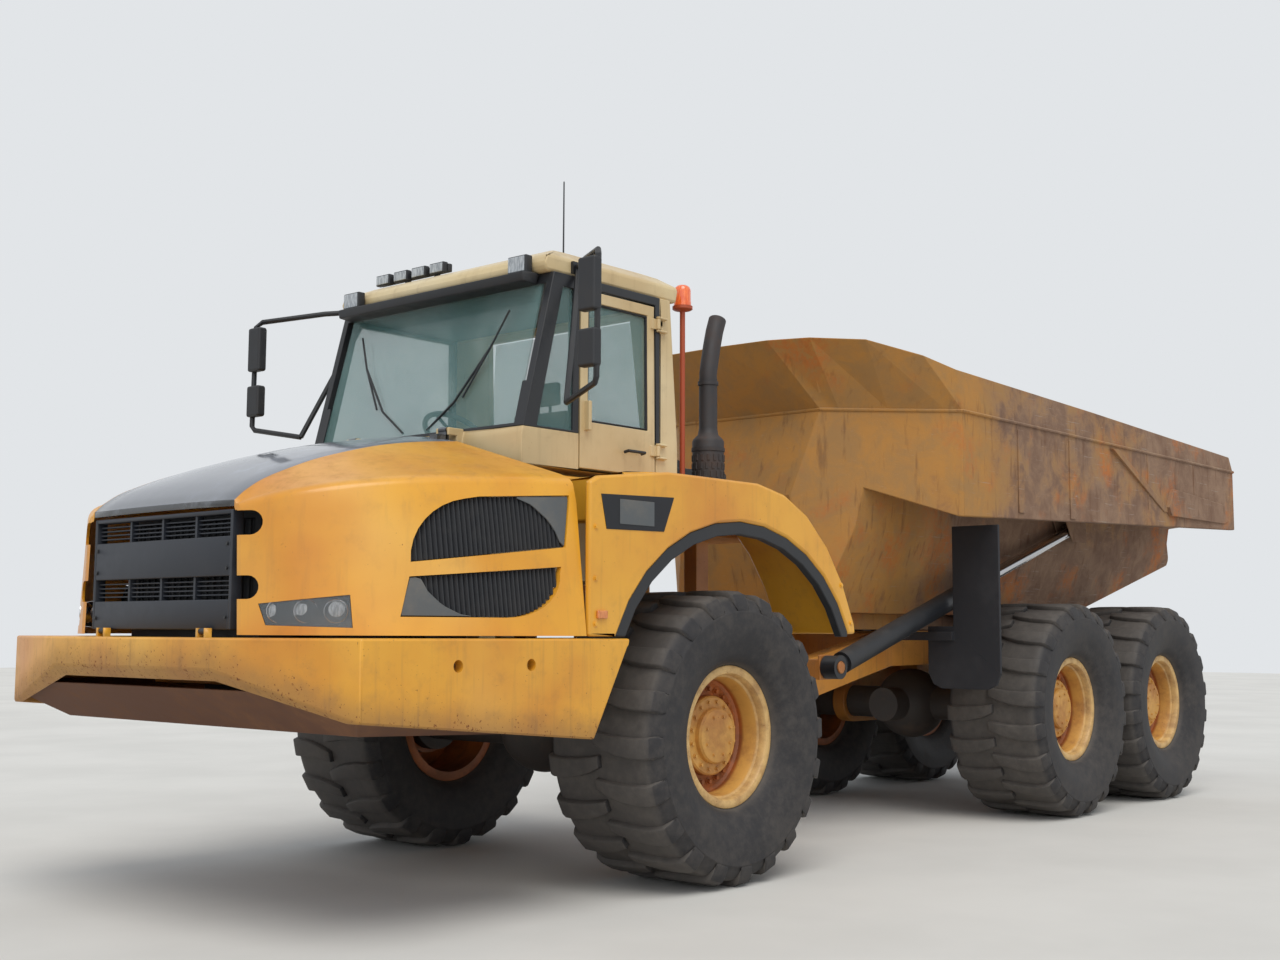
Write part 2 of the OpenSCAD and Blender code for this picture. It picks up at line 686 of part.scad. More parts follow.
module seat() color(black) at_front_axle() {
    block([170, 560], [-210, 210], [floor_z, floor_z + 190]);
    across(-255, 255) polygon([[130, floor_z + 190], [650, floor_z + 190], [660, floor_z + 300],
        [150, floor_z + 330]]);
    across(-240, 240) polygon([[60, floor_z + 315], [170, floor_z + 315], [90, floor_z + 1000],
        [0, floor_z + 1000]]);
    across(-130, 130) polygon([[0, floor_z + 1010], [85, floor_z + 1010], [75, floor_z + 1170],
        [5, floor_z + 1170]]);
    for (y = [-50, 50]) bar([45, y, floor_z + 990], [42, y, floor_z + 1020], 8);
}

wheel_place = [745, 0, floor_z + 760];
module dash() color(black) at_front_axle() {
    across(-430, 430) polygon([[830, floor_z], [cab_front - cab_t - 1, floor_z],
        [cab_front - cab_t - 1, 2330],
        [930, 2350], [850, 2230]]);
    bar([880, 0, floor_z + 420], wheel_place - [4, 0, 6], 26);
    translate(wheel_place) rotate([0, -35, 0]) {
        rotate_extrude($fn = 32) translate([205, 0]) circle(r = 16, $fn = 6);
        for (turn = [0, 120, 240]) rotate([0, 0, turn]) bar([0, 0, 0], [200, 0, 0], 11);
        cylinder(h = 24, r = 50, center = true);
    }
}

// Mirror frames: roof corner, outer top, outer bottom, inner bottom
mirror_posts = [[690, 884, 3300], [1126, 1432, 3222], [1136, 1432, 2566], [1010, 1110, 2505]];
mirror_r = 17;

module mirrors() color(black) at_front_axle() both_sides() {
    for (i = [0:3]) let (a = mirror_posts[i], b = mirror_posts[(i + 1) % 4], over = (b - a) * 6 / norm(b - a))
        bar(a - over, b + over, mirror_r);
    block([650, 730], [roof_y + seat_gap, roof_y + 20], [3262, 3332]);
    // Heads: bottom, top
    for (z = [[2640, 2830], [2920, 3190]])
        block([mirror_posts[1].x - 15, mirror_posts[1].x + 50], [1330, 1450], z);
}

stack_foot = [-500, 835, 1950];
module exhaust_stack() color(black) at_front_axle() {
    pin_z(stack_foot.x, stack_foot.y, 55, [stack_foot.z, 2880]);
    bar([stack_foot.x + 6, stack_foot.y, 2850], [-620, 815, 3230], 54);
    pin_z(stack_foot.x, stack_foot.y, 95, [2140, 2480]);
}

module rear_deck() color(yellow) at_front_axle() {
    block([-1060, cab_rear - move_gap], [-cab_y - 10, cab_y + 10], [1900, 1950]);
    both_sides() block([-900, -780], [rail_y - rail_w, rail_y], [rail_top, 1900]);
    both_sides() block([-340, -240], [rail_y - rail_w, rail_y], [rail_top, 1900]);
}

module hydraulic_tank() color(black) at_front_axle() {
    block([-940, -300], [-700, 640], [1950, 2330]);
    for (x = [-760, -480]) pin_z(x, 300, 90, [2330, 2420]);
    block([-880, -360], [-600, -200], [2330, 2480]);
}

module roof_lights() color(black) at_front_axle() {
    block([650, 730], [-790, -160], [roof_top + 5, roof_top + 70]);
    for (y = [-520, -260]) block([675, 705], [y - 15, y + 15], [roof_top - 20, roof_top + 10]);
    // Visor under the front edge of the roof
    across(-780, 780) polygon([[882, roof_z - seat_gap], [900, roof_z - 70], [1000, roof_z - 60],
        [1010, roof_z - 10], [930, roof_z - seat_gap]]);
    for (y = [-700, 700]) block([925, 985], [y - 70, y + 70], [roof_z - 15, roof_z + 90]);
    pin_z(450, 540, 5, [roof_top - 7.8, 3900]);
}

module beacon() color("orangered") at_front_axle() {
    pin_z(-300, 800, 16, [1950, 3240]);
    pin_z(-300, 800, 60, [3240, 3262]);
    pin_z(-300, 800, 50, [3262, 3390]);
}

// Door on the left of the cab, hinged at its rear edge

door_hinge = [door_x[0] - 4, cab_y + 18];

module door_left() color(cream) at_front_axle() {
    difference() {
        across(cab_y - cab_t, cab_y) difference() {
            door_hole(0);
            offset(delta = -60) polygon([[door_x[0], sill_z + 10], [door_x[0] + 12, door_z[1]],
                [door_x[1], door_z[1]], [door_x[1], sill_z + 10]]);
        }
    }
    for (z = door_knuckles) difference() {
        union() {
            pin_z(door_hinge.x, door_hinge[1], 13, [z, z + door_knuckle_h]);
            block([door_hinge.x + 2, door_x[0] + 45], [cab_y + 4, door_hinge[1] - 8], [z,
                z + door_knuckle_h]);
            block([door_x[0] + 18, door_x[0] + 45], [cab_y - 5, door_hinge[1] - 8], [z, z + door_knuckle_h]);
        }
        pin_z(door_hinge.x, door_hinge[1], 8 + pin_gap, [z - 1, z + door_knuckle_h + 1]);
    }
    block([door_x[1] - 55, door_x[1] - 30], [cab_y - 5, cab_y + 35], [2420, 2580]);
}

module door_glass() color(glass) at_front_axle() across(cab_y - 30, cab_y - 18)
    offset(delta = -60 - seat_gap) polygon([[door_x[0], sill_z + 10], [door_x[0] + 12, door_z[1]],
        [door_x[1], door_z[1]], [door_x[1], sill_z + 10]]);

// Rear unit

frame_nose = -500;

module beam_line() polygon([[steer_x + frame_nose, 880], [steer_x + frame_nose, 1120], [axle_f - 2000, 1150],
    [axle_f - 3100, beam_top], [tip_x - 120, beam_top], [tip_x - 120, beam_top - beam_h + 40],
    [axle_f - 3100, beam_top - beam_h], [axle_f - 2100, 900]]);

tow_x = tip_x - 175;
tow_r = 25;
tow_top = 1290;

module rear_frame() color(yellow) {
    // Tow tongue at the rear
    difference() {
        block([tip_x - 235, tip_x - 100], [-70, 70], [1200, tow_top]);
        pin_z(tow_x, 0, tow_r, [1190, tow_top + 10]);
    }
    both_sides() {
        across(beam_y - beam_w, beam_y) beam_line();
        // Ears and pins of the tipping hinge
        pin_y(tip_x, tip_z, 85, [beam_y - beam_w, beam_y]);
        block([tip_x - 78, tip_x + 78], [beam_y - beam_w, beam_y], [beam_top - 20, tip_z]);
        pin_y(tip_x, tip_z, tip_pin_r, [beam_y - beam_w - 90, beam_y - 10]);
        // Foot of the hoist cylinder
        block([hoist_low.x - 70, hoist_low.x + 70], [beam_y - 15, hoist_y - hoist_eye_w - 12], [1040, 1170]);
        block([hoist_low.x - 70, hoist_low.x + 70], [hoist_y - hoist_eye_w - 22, hoist_y - hoist_eye_w - 4],
            [1040, 1200]);
        pin_y(hoist_low.x, hoist_low[1], hoist_pin_r, [hoist_y - hoist_eye_w - 20,
            hoist_y + hoist_eye_w + 10]);
        // Plates that hold the eyes of the steering rods
        for (z = [[steer_z - steer_lug - 20, steer_z - steer_lug - pin_gap],
                [steer_z + steer_lug + pin_gap, steer_z + steer_lug + 20]])
            block([steer_x + frame_nose - 20, steer_x + steer_rear.x + 90], [steer_rear.y - 110,
                steer_rear.y + 110], z);
    }
    for (x = [steer_x + frame_nose, axle_f - 3180, axle_m - 600, (axle_m + axle_r) / 2 - 60, tip_x - 115])
        block([x, x + 110], [beam_w - beam_y - 10, beam_y - beam_w + 10], [x < axle_f - 2500 ? 1150 : 890,
            x < axle_f - 2500 ? beam_top - 20 : 1115]);
    both_sides() block([steer_x + frame_nose, steer_x + frame_nose + 60], [beam_y - 20,
        steer_rear.y + 110], [890, 1115]);
}

hoist_low = [axle_f - 1720, 1120];
hoist_high = [axle_f - 5200, 2180];
hoist_eye_w = 55;
hoist_pin_r = 40;
tip_pin_r = 45;

module hitch() color(grey) at_steer_pin() {
    pin_z(0, 0, 140, [ear_low[1] + move_gap / 2, ear_high[0] - move_gap / 2]);
    pin_z(0, 0, hitch_pin_r, [ear_low[0] - 20, ear_high[1] + 20]);
    block([-330, 0], [-120, 120], [ear_low[1] + 15, ear_high[0] - 15]);
    translate([frame_nose + 110 + seat_gap, 0, steer_z]) rotate([0, 90, 0]) cylinder(h = 120, r = 115);
    translate([frame_nose + 110 + seat_gap, 0, steer_z]) rotate([0, 90, 0]) cylinder(h = 40, r = 122);
}

module bogie_beams() color(yellow) {
    mid = (axle_m + axle_r) / 2;
    both_sides() {
        across(530, 640) difference() {
            hull() {
                translate([axle_m, hub_z]) circle(r = axle_tube_r + 45);
                translate([mid, hub_z + 190]) circle(r = 120);
                translate([axle_r, hub_z]) circle(r = axle_tube_r + 45);
            }
            translate([axle_m, hub_z]) circle(r = axle_tube_r + seat_gap);
            translate([axle_r, hub_z]) circle(r = axle_tube_r + seat_gap);
        }
        block([mid - 130, mid + 130], [beam_y, 530], [hub_z + 110, beam_top - beam_h + 120]);
        block([mid - 130, mid + 130], [beam_y - beam_w, beam_y], [beam_top - beam_h - 90, beam_top - beam_h]);
    }
}

module mud_flaps() color(black) {
    flap_x = axle_m + tyre_r + 280;
    both_sides() {
        block([flap_x - 12, flap_x + 12], [790, 1360], [1060, 1390]);
        block([flap_x - 12, flap_x + 12], [995, 1360], [1380, 2100]);
        along(flap_x - 12, flap_x + 12) polygon([[790, 1061], [830, 980], [900, 950], [1260, 950],
            [1325, 980],
            [1360, 1061]]);
        block([flap_x - 40, flap_x + 40], [beam_y, 1000], [1290, 1350]);
    }
}

module tail_lights() color("firebrick") both_sides()
    block([tip_x - 160, tip_x - 120], [beam_y - beam_w, beam_y], [1190, 1290]);

// Bed: heights and half widths of its sections

side_front = axle_f - 2635;
side_rear = bed_end + 80;
chute_knee = axle_f - 5750;
tail_z = 1980;
shelf_z = 2380;
lip_front_z = 2130;
lip_rear_z = 2290;
// How far the rail drops from front to rear
rail_drop = 40;
// Height that the load space is cut past the rail
open_top = 300;
// Front panel: its knee and its top, and how far it leans back for each millimetre up
panel_knee_x = axle_f - 1850;
panel_knee_z = 2270;
panel_top_x = axle_f - 1990;
panel_lean = (panel_knee_x - panel_top_x) / (bed_rail_z - panel_knee_z);
// Half widths of the panel at its knee and of the slanted corner's rear end
panel_y = 470;
corner_x = axle_f - 2300;
corner_y = 970;
// Half width of the front rail, where the corner's slant meets it
rail_corner_y = panel_y + (corner_y - panel_y) * (panel_knee_x - panel_top_x) / (panel_knee_x - corner_x);

module bed_plan(inset) polygon(mirrored([[panel_knee_x - inset, panel_y - inset * 0.3],
    [corner_x - inset * 0.8, corner_y - inset * 0.6], [side_front - inset * 0.4, bed_front_y - inset],
    [inset > 0 ? bed_end - 200 : bed_end, bed_rear_y - inset]]));

// Side outline of the bed as x and z
module bed_side(inset) {
    rise = inset > 0 ? open_top : 0;
    end_cut = inset > 0 ? 200 : 0;
    rear_x = inset > 0 ? bed_end - end_cut : side_rear;
    polygon([
        [panel_top_x - inset, bed_floor_z + inset],
        [panel_knee_x - inset, panel_knee_z],
        [panel_top_x - inset - panel_lean * rise, bed_rail_z + rise],
        [rear_x, bed_rail_z - rail_drop + rise],
        [rear_x, tail_z + 200 + inset],
        [bed_end - end_cut, tail_z + 60 + (inset > 0 ? inset + 5 : 0)],
        [bed_end - end_cut, tail_z + (inset > 0 ? inset + 40 : 0)],
        [chute_knee, bed_floor_z + inset]
    ]);
}

// Front outline of the bed as y and z
module bed_section(inset) polygon([
    [-600 + inset, bed_floor_z + (inset > 0 ? -300 : 0)], [600 - inset, bed_floor_z + (inset > 0 ? -300 : 0)],
    [600 - inset, bed_floor_z], [800 - inset, 2060], [840 - inset, shelf_z - 60 + inset],
    [bed_rear_y - inset, shelf_z - (inset > 0 ? 0 : 300) + inset], [bed_rear_y - inset, 3200],
    [-bed_rear_y + inset, 3200], [-bed_rear_y + inset, shelf_z - (inset > 0 ? 0 : 300) + inset],
    [-840 + inset, shelf_z - 60 + inset], [-800 + inset, 2060], [-600 + inset, bed_floor_z]]);

module bed_channel() both_sides() intersection() {
    along(bed_end - 10, axle_f - 1500) polygon([[600, bed_floor_z - 10], [800, 2060], [840, shelf_z - 60],
        [bed_rear_y + 10, shelf_z], [bed_rear_y + 10, bed_floor_z - 10]]);
    union() {
        upright(1300, 2600) bed_plan(bed_t);
        across(600, bed_rear_y + 20) polygon([[axle_f - 1500, 1300], [axle_f - 1500, lip_front_z],
            [side_front, lip_front_z], [side_rear - 100, lip_rear_z], [side_rear - 100, 1300]]);
    }
}

module bed_shell() color(rust) difference() {
    intersection() {
        upright(1400, 3100) bed_plan(0);
        across(-1500, 1500) bed_side(0);
        along(bed_end - 10, axle_f - 1500) bed_section(0);
    }
    intersection() {
        upright(1400, 3200) bed_plan(bed_t);
        across(-1500, 1500) bed_side(bed_t);
        along(bed_end - 300, axle_f - 1500) bed_section(bed_t);
    }
    bed_channel();
}

// The boards above the rail: x and y at the rail, x and y at the top, top height
guard_rows = [
    [side_rear, bed_rear_y, side_rear + 60, bed_rear_y - 10, bed_rail_z + 94],
    [axle_f - 4600, 1393, axle_f - 4600, 1390, bed_rail_z + 204],
    [side_front, bed_front_y, side_front + 60, bed_front_y - 8, bed_rail_z + 274],
    [axle_f - 2560, 1265, axle_f - 2300, 1250, bed_rail_z + 344],
    [axle_f - 2300, 970, axle_f - 1970, 1010, bed_rail_z + 434],
    [axle_f - 2075, 720, axle_f - 1760, 700, guard_top],
    [panel_top_x, rail_corner_y, axle_f - 1660, 420, guard_top],
    [panel_top_x, 0, axle_f - 1640, 0, guard_top]
];
guard_t = 30;

// The rail's height at x
function rail_at(x) = bed_rail_z - rail_drop * (panel_top_x - x) / (panel_top_x - side_rear);

// One ring of the guard: a plate standing on the rail
function guard_ring(row, next_dir) = let (inward = [-next_dir.y, next_dir.x] * guard_t,
        low = [row[0] + inward.x, row[1] + inward.y])
    [[row[0], row[1], rail_at(row[0]) + seat_gap], [row[2], row[3], row[4]],
     [row[2] + inward.x, row[3] + inward.y, row[4]], [low.x, low.y, rail_at(low.x) + seat_gap]];

module bed_guard() color(rust) {
    n = len(guard_rows) - 1;
    full = concat(guard_rows, [for (i = [n - 1:-1:0]) [guard_rows[i][0], -guard_rows[i][1], guard_rows[i][2],
        -guard_rows[i][3], guard_rows[i][4]]]);
    last = len(full) - 1;
    rings = [for (i = [0:last]) let (a = full[max(i - 1, 0)], b = full[min(i + 1, last)],
        d = [b[0] - a[0], b[1] - a[1]]) guard_ring(full[i], -d / norm(d))];
    loft(rings);
}

module bed_ribs() color(rust) {
    both_sides() {
        // Sills that rest on the frame
        block([tip_x + 130, axle_f - 2300], [beam_y - beam_w, beam_y], [beam_top + 6, bed_floor_z]);
        // Hinge lugs
        difference() {
            union() {
                pin_y(tip_x, tip_z, 90, [beam_y - beam_w - 80, beam_y - beam_w - 6]);
                across(beam_y - beam_w - 80, beam_y - beam_w - 6) polygon([[tip_x - 90, tip_z],
                    [tip_x + 300, tip_z - 20], [tip_x + 300, bed_floor_z], [chute_knee, bed_floor_z],
                    [tip_x - 90, bed_floor_z - seat_gap + (tail_z - bed_floor_z) * (chute_knee - tip_x + 90)
                        / (chute_knee - bed_end)]]);
            }
            pin_y(tip_x, tip_z, tip_pin_r + pin_gap, [0, beam_y]);
        }
        // Hoist brackets under the shelf, open downwards
        for (row = hoist_plates) across(row[0], row[0] + 12) polygon([[hoist_high.x - 200, row[1]],
            [hoist_high.x - 200, 2090], [hoist_high.x + 60, 2090], [hoist_high.x + 220, row[1]]]);
        // Upright ribs on the sides
        on_side() for (d = [760, 1560]) block([d, d + 80], [-12, -seat_gap], [2200, 2800]);
    }
}

// Inner face and top edge of each plate that holds the eye of a hoist rod
hoist_plates = [[840, 2319.7], [948, 2330.2]];
side_turn = atan((bed_rear_y - bed_front_y) / (side_front - bed_end));

// Local x runs rearwards along the bed's left side, local y points into the bed
module on_side() translate([side_front, bed_front_y, 0]) rotate([0, 0, 180 - side_turn]) children();

// Cylinders

hoist_dir = [hoist_high.x - hoist_low.x, 0, hoist_high[1] - hoist_low[1]];
hoist_len = norm(hoist_dir);
hoist_unit = hoist_dir / hoist_len;
hoist_barrel_len = 2150;
hoist_rod_start = 340;
hoist_neck_r = 52;

function hoist_at(d) = [hoist_low.x, hoist_y, hoist_low[1]] + hoist_unit * d;

module hoist_barrels() color(black) both_sides() difference() {
    union() {
        pin_y(hoist_low.x, hoist_low[1], 75, [hoist_y - hoist_eye_w, hoist_y + hoist_eye_w]);
        bar(hoist_at(40), hoist_at(110), hoist_neck_r);
        bar(hoist_at(100), hoist_at(hoist_barrel_len), hoist_barrel_r);
    }
    pin_y(hoist_low.x, hoist_low[1], hoist_pin_r + pin_gap, [hoist_y - 90, hoist_y + 90]);
    bar(hoist_at(300), hoist_at(hoist_barrel_len + 1), hoist_rod_r + pin_gap);
}

module hoist_rods() color(silver) both_sides() {
    bar(hoist_at(hoist_rod_start), hoist_at(hoist_len - 30), hoist_rod_r);
    pin_y(hoist_high.x, hoist_high[1], 65, [hoist_y - 40, hoist_y + 40]);
    pin_y(hoist_high.x, hoist_high[1], 30, [hoist_y - 47.5, hoist_y + 47.5]);
}

steer_dir = steer_rear - steer_front;
steer_len = norm(steer_dir);
steer_unit = steer_dir / steer_len;

function steer_at(d) = [steer_front.x + steer_unit.x * d, steer_front.y + steer_unit.y * d, steer_z];

module steer_barrel() color(black) at_steer_pin() difference() {
    union() {
        pin_z(steer_front.x, steer_front.y, 55, [steer_z - steer_lug, steer_z + steer_lug]);
        bar(steer_at(30), steer_at(760), steer_barrel_r);
    }
    pin_z(steer_front.x, steer_front.y, steer_pin_r + pin_gap, [steer_z - 100, steer_z + 100]);
    bar(steer_at(75), steer_at(761), steer_rod_r + pin_gap);
}

module steer_rod() color(silver) at_steer_pin() {
    bar(steer_at(400), steer_at(steer_len - 20), steer_rod_r);
    pin_z(steer_rear.x, steer_rear.y, 50, [steer_z - 40, steer_z + 40]);
    pin_z(steer_rear.x, steer_rear.y, 25, [steer_z - steer_lug, steer_z + steer_lug]);
}

module steer_barrel_left() steer_barrel();
module steer_barrel_right() mirror([0, 1, 0]) steer_barrel();
module steer_rod_left() steer_rod();
module steer_rod_right() mirror([0, 1, 0]) steer_rod();

front_frame();
front_axle();
engine();
radiator();
bumper();
belly_pan();
fender_left();
fender_right();
fender_trim();
cab_frame();
window_frames();
roof();
cab_glass();
seat();
dash();
mirrors();
exhaust_stack();
rear_deck();
hydraulic_tank();
roof_lights();
beacon();
hood_shell();
hood_top();
side_vents();
headlights();
grille();
door_left();
door_glass();
rear_frame();
hitch();
mid_axle();
rear_axle();
bogie_beams();
mud_flaps();
tail_lights();
bed_shell();
bed_guard();
bed_ribs();
tyre_front_left();
tyre_front_right();
tyre_mid_left();
tyre_mid_right();
tyre_rear_left();
tyre_rear_right();
rim_front_left();
rim_front_right();
rim_mid_left();
rim_mid_right();
rim_rear_left();
rim_rear_right();
hoist_barrels();
hoist_rods();
steer_barrel_left();
steer_barrel_right();
steer_rod_left();
steer_rod_right();
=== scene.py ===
import json
import math

import bmesh
import bpy
from mathutils import Matrix, Vector

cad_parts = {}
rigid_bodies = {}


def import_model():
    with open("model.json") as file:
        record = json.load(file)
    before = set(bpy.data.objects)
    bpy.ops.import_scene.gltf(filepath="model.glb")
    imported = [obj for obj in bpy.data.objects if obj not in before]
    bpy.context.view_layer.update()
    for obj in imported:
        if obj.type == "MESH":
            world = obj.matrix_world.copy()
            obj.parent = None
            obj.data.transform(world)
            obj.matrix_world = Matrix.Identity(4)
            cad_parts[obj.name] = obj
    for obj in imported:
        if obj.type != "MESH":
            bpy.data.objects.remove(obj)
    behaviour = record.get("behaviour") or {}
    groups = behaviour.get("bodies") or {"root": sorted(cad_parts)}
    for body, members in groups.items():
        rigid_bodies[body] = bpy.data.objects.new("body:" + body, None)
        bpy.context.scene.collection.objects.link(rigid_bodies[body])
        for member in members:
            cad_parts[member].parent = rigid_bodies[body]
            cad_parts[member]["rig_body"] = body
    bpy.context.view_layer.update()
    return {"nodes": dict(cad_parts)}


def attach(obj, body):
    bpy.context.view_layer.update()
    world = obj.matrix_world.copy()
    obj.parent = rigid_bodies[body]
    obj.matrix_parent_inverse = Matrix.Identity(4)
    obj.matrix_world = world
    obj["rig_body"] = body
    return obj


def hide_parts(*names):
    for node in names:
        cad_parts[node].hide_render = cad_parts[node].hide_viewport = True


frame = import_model()
nodes = frame["nodes"]
print("frame loaded,", len(nodes), "nodes")

# The front axle's place along the truck; side views below count x from it
frontAxle = 2.3845
midAxle = -1.7905
rearAxle = -3.4605
wheelY = 1.108
hubZ = 0.785

# Camera, floor and light

view = {
    "place": (8.9385, 6.420, 1.345), "heading": 220.95, "pitch": 5.69, "roll": 0.24,
    "lens": 42.74, "floorSize": 90, "floorColour": (214, 212, 207), "skyColour": (226, 229, 232),
}


def screenColour(colour):
    # A colour as it looks on a screen, 0 to 255, as Blender's linear colour
    def linear(v):
        v = v / 255
        return v / 12.92 if v <= 0.04045 else ((v + 0.055) / 1.055) ** 2.4
    return tuple(linear(v) for v in colour[:3]) + (1,)


def setCamera():
    heading, pitch, roll = (math.radians(view[k]) for k in ("heading", "pitch", "roll"))
    ahead = Vector((math.cos(pitch) * math.cos(heading), math.cos(pitch) * math.sin(heading),
                    math.sin(pitch)))
    right = ahead.cross(Vector((0, 0, 1))).normalized()
    up = right.cross(ahead)
    right, up = right * math.cos(roll) + up * math.sin(roll), up * math.cos(roll) - right * math.sin(roll)
    turn = Matrix((right, up, -ahead)).transposed().to_4x4()
    data = bpy.data.cameras.new("yardCamera")
    data.lens = view["lens"]
    data.sensor_width = 36
    data.clip_end = 400
    camera = bpy.data.objects.new("yardCamera", data)
    camera.matrix_world = Matrix.Translation(view["place"]) @ turn
    bpy.context.scene.collection.objects.link(camera)
    bpy.context.scene.camera = camera


def softSun(name, towards, strength, angle, colour=(1, 1, 1)):
    data = bpy.data.lights.new(name, "SUN")
    data.energy = strength
    data.angle = math.radians(angle)
    data.color = colour
    lamp = bpy.data.objects.new(name, data)
    lamp.rotation_euler = Vector(towards).to_track_quat("-Z", "Y").to_euler()
    bpy.context.scene.collection.objects.link(lamp)


def setWorld():
    world = bpy.data.worlds.new("paleStudio")
    world.use_nodes = True
    bpy.context.scene.world = world
    tree = world.node_tree
    tree.nodes.clear()
    path = tree.nodes.new("ShaderNodeLightPath")
    direct, seen = (tree.nodes.new("ShaderNodeMath") for _ in range(2))
    direct.operation = seen.operation = "MAXIMUM"
    tree.links.new(path.outputs["Is Camera Ray"], direct.inputs[0])
    tree.links.new(path.outputs["Is Transmission Ray"], direct.inputs[1])
    tree.links.new(direct.outputs[0], seen.inputs[0])
    tree.links.new(path.outputs["Is Glossy Ray"], seen.inputs[1])
    lit = tree.nodes.new("ShaderNodeBackground")
    lit.inputs["Color"].default_value = (0.86, 0.92, 1, 1)
    lit.inputs["Strength"].default_value = 0.62
    shown = tree.nodes.new("ShaderNodeBackground")
    shown.inputs["Color"].default_value = screenColour(view["skyColour"])
    shown.inputs["Strength"].default_value = 1
    mix = tree.nodes.new("ShaderNodeMixShader")
    out = tree.nodes.new("ShaderNodeOutputWorld")
    tree.links.new(seen.outputs[0], mix.inputs[0])
    tree.links.new(lit.outputs[0], mix.inputs[1])
    tree.links.new(shown.outputs[0], mix.inputs[2])
    tree.links.new(mix.outputs[0], out.inputs[0])


setCamera()
setWorld()
softSun("highSun", (-0.35, -0.45, -1), 1.7, 40, (1, 0.97, 0.92))
softSun("cameraFill", (-0.9, -0.75, -0.35), 0.55, 70)
bpy.context.scene.view_settings.view_transform = "Standard"
print("camera, world and lamps set")


# Materials: small wrappers that let a finish be written as sums

class Wire:
    def __init__(self, tree, plug):
        self.tree = tree
        self.plug = plug

    def math(self, operation, other=0.0, swap=False, clamp=False):
        node = self.tree.nodes.new("ShaderNodeMath")
        node.operation = operation
        node.use_clamp = clamp
        for socket, term in zip(node.inputs, [other, self] if swap else [self, other]):
            plugIn(self.tree, term, socket)
        return Wire(self.tree, node.outputs[0])

    def __add__(self, other):
        return self.math("ADD", other)

    __radd__ = __add__

    def __mul__(self, other):
        return self.math("MULTIPLY", other)

    __rmul__ = __mul__

    def __sub__(self, other):
        return self.math("SUBTRACT", other)

    def __rsub__(self, other):
        return self.math("SUBTRACT", other, swap=True)

    def __truediv__(self, other):
        return self.math("DIVIDE", other)

    def __pow__(self, other):
        return self.math("POWER", other)

    def most(self, other):
        return self.math("MAXIMUM", other)

    def size(self):
        return self.math("ABSOLUTE")

    def clamped(self):
        return self.math("ADD", 0.0, clamp=True)

    def rise(self, low, high, start=0.0, end=1.0):
        # Smoothly from start to end as the value goes from low to high
        node = self.tree.nodes.new("ShaderNodeMapRange")
        node.interpolation_type = "SMOOTHSTEP"
        for socket, term in zip(node.inputs, [self, low, high, start, end]):
            plugIn(self.tree, term, socket)
        return Wire(self.tree, node.outputs[0])


def plugIn(tree, term, socket):
    if isinstance(term, Wire):
        tree.links.new(term.plug, socket)
    else:
        socket.default_value = term


class Finish:
    def __init__(self, name, slot, **settings):
        self.slot = slot
        self.material = bpy.data.materials.new(name)
        self.material.use_nodes = True
        self.tree = self.material.node_tree
        self.shader = self.tree.nodes["Principled BSDF"]
        for socket, value in settings.items():
            self.shader.inputs[socket.replace("_", " ")].default_value = value
        self.spot = self.node("ShaderNodeTexCoord").outputs["Object"]
        parts = self.node("ShaderNodeSeparateXYZ", self.spot)
        self.x, self.y, self.z = (Wire(self.tree, plug) for plug in parts.outputs)

    def node(self, kind, *plugs, **settings):
        made = self.tree.nodes.new(kind)
        for key, value in settings.items():
            setattr(made, key, value)
        for plug, socket in zip(plugs, made.inputs):
            self.tree.links.new(plug, socket)
        return made

    def facing(self, axis):
        parts = self.node("ShaderNodeSeparateXYZ", self.node("ShaderNodeTexCoord").outputs["Normal"])
        return Wire(self.tree, parts.outputs[axis])

    def stretched(self, stretch, turn=(0, 0, 0)):
        mapping = self.node("ShaderNodeMapping", self.spot)
        mapping.inputs["Scale"].default_value = stretch
        mapping.inputs["Rotation"].default_value = turn
        return mapping.outputs[0]

    def grain(self, scale, detail=4, rough=0.55, stretch=None, turn=(0, 0, 0), warp=0.0):
        spot = self.stretched(stretch, turn) if stretch else self.spot
        made = self.node("ShaderNodeTexNoise", spot)
        made.inputs["Scale"].default_value = scale
        made.inputs["Detail"].default_value = detail
        made.inputs["Roughness"].default_value = rough
        made.inputs["Distortion"].default_value = warp
        return Wire(self.tree, made.outputs["Fac"])

    def mix(self, factor, first, second):
        made = self.node("ShaderNodeMix", data_type="RGBA", clamp_factor=True)
        plugIn(self.tree, factor, made.inputs[0])
        plugIn(self.tree, first, made.inputs[6])
        plugIn(self.tree, second, made.inputs[7])
        return Wire(self.tree, made.outputs[2])

    def into(self, socket, term):
        plugIn(self.tree, term, self.shader.inputs[socket])
        return self

    def bump(self, height, strength, distance=0.002):
        made = self.node("ShaderNodeBump")
        made.inputs["Strength"].default_value = strength
        made.inputs["Distance"].default_value = distance
        plugIn(self.tree, height, made.inputs["Height"])
        self.tree.links.new(made.outputs[0], self.shader.inputs["Normal"])
        return self


tones = {
    "gold": (226, 163, 45), "goldDeep": (206, 134, 34), "goldPale": (236, 190, 98), "cream": (214, 193, 148),
    "creamPale": (226, 212, 176), "dust": (168, 150, 124), "mud": (120, 92, 66), "rust": (138, 78, 38),
    "rustDark": (84, 48, 32), "black": (30, 32, 36),
    "blackDusty": (72, 70, 68), "blackGloss": (20, 22, 26), "rubber": (44, 43, 45),
    "rubberDust": (104, 98, 92), "glass": (112, 152, 150), "orange": (214, 84, 30),
}
ink = {name: screenColour(colour) for name, colour in tones.items()}


def lowerEdge(finish, shape):
    # Height above the lower edge of a panel, from straight lines given as x, z and slope
    edge = None
    for x, z, slope in shape:
        line = (finish.x - x) * slope + z
        edge = line if edge is None else edge.most(line)
    return finish.z - edge


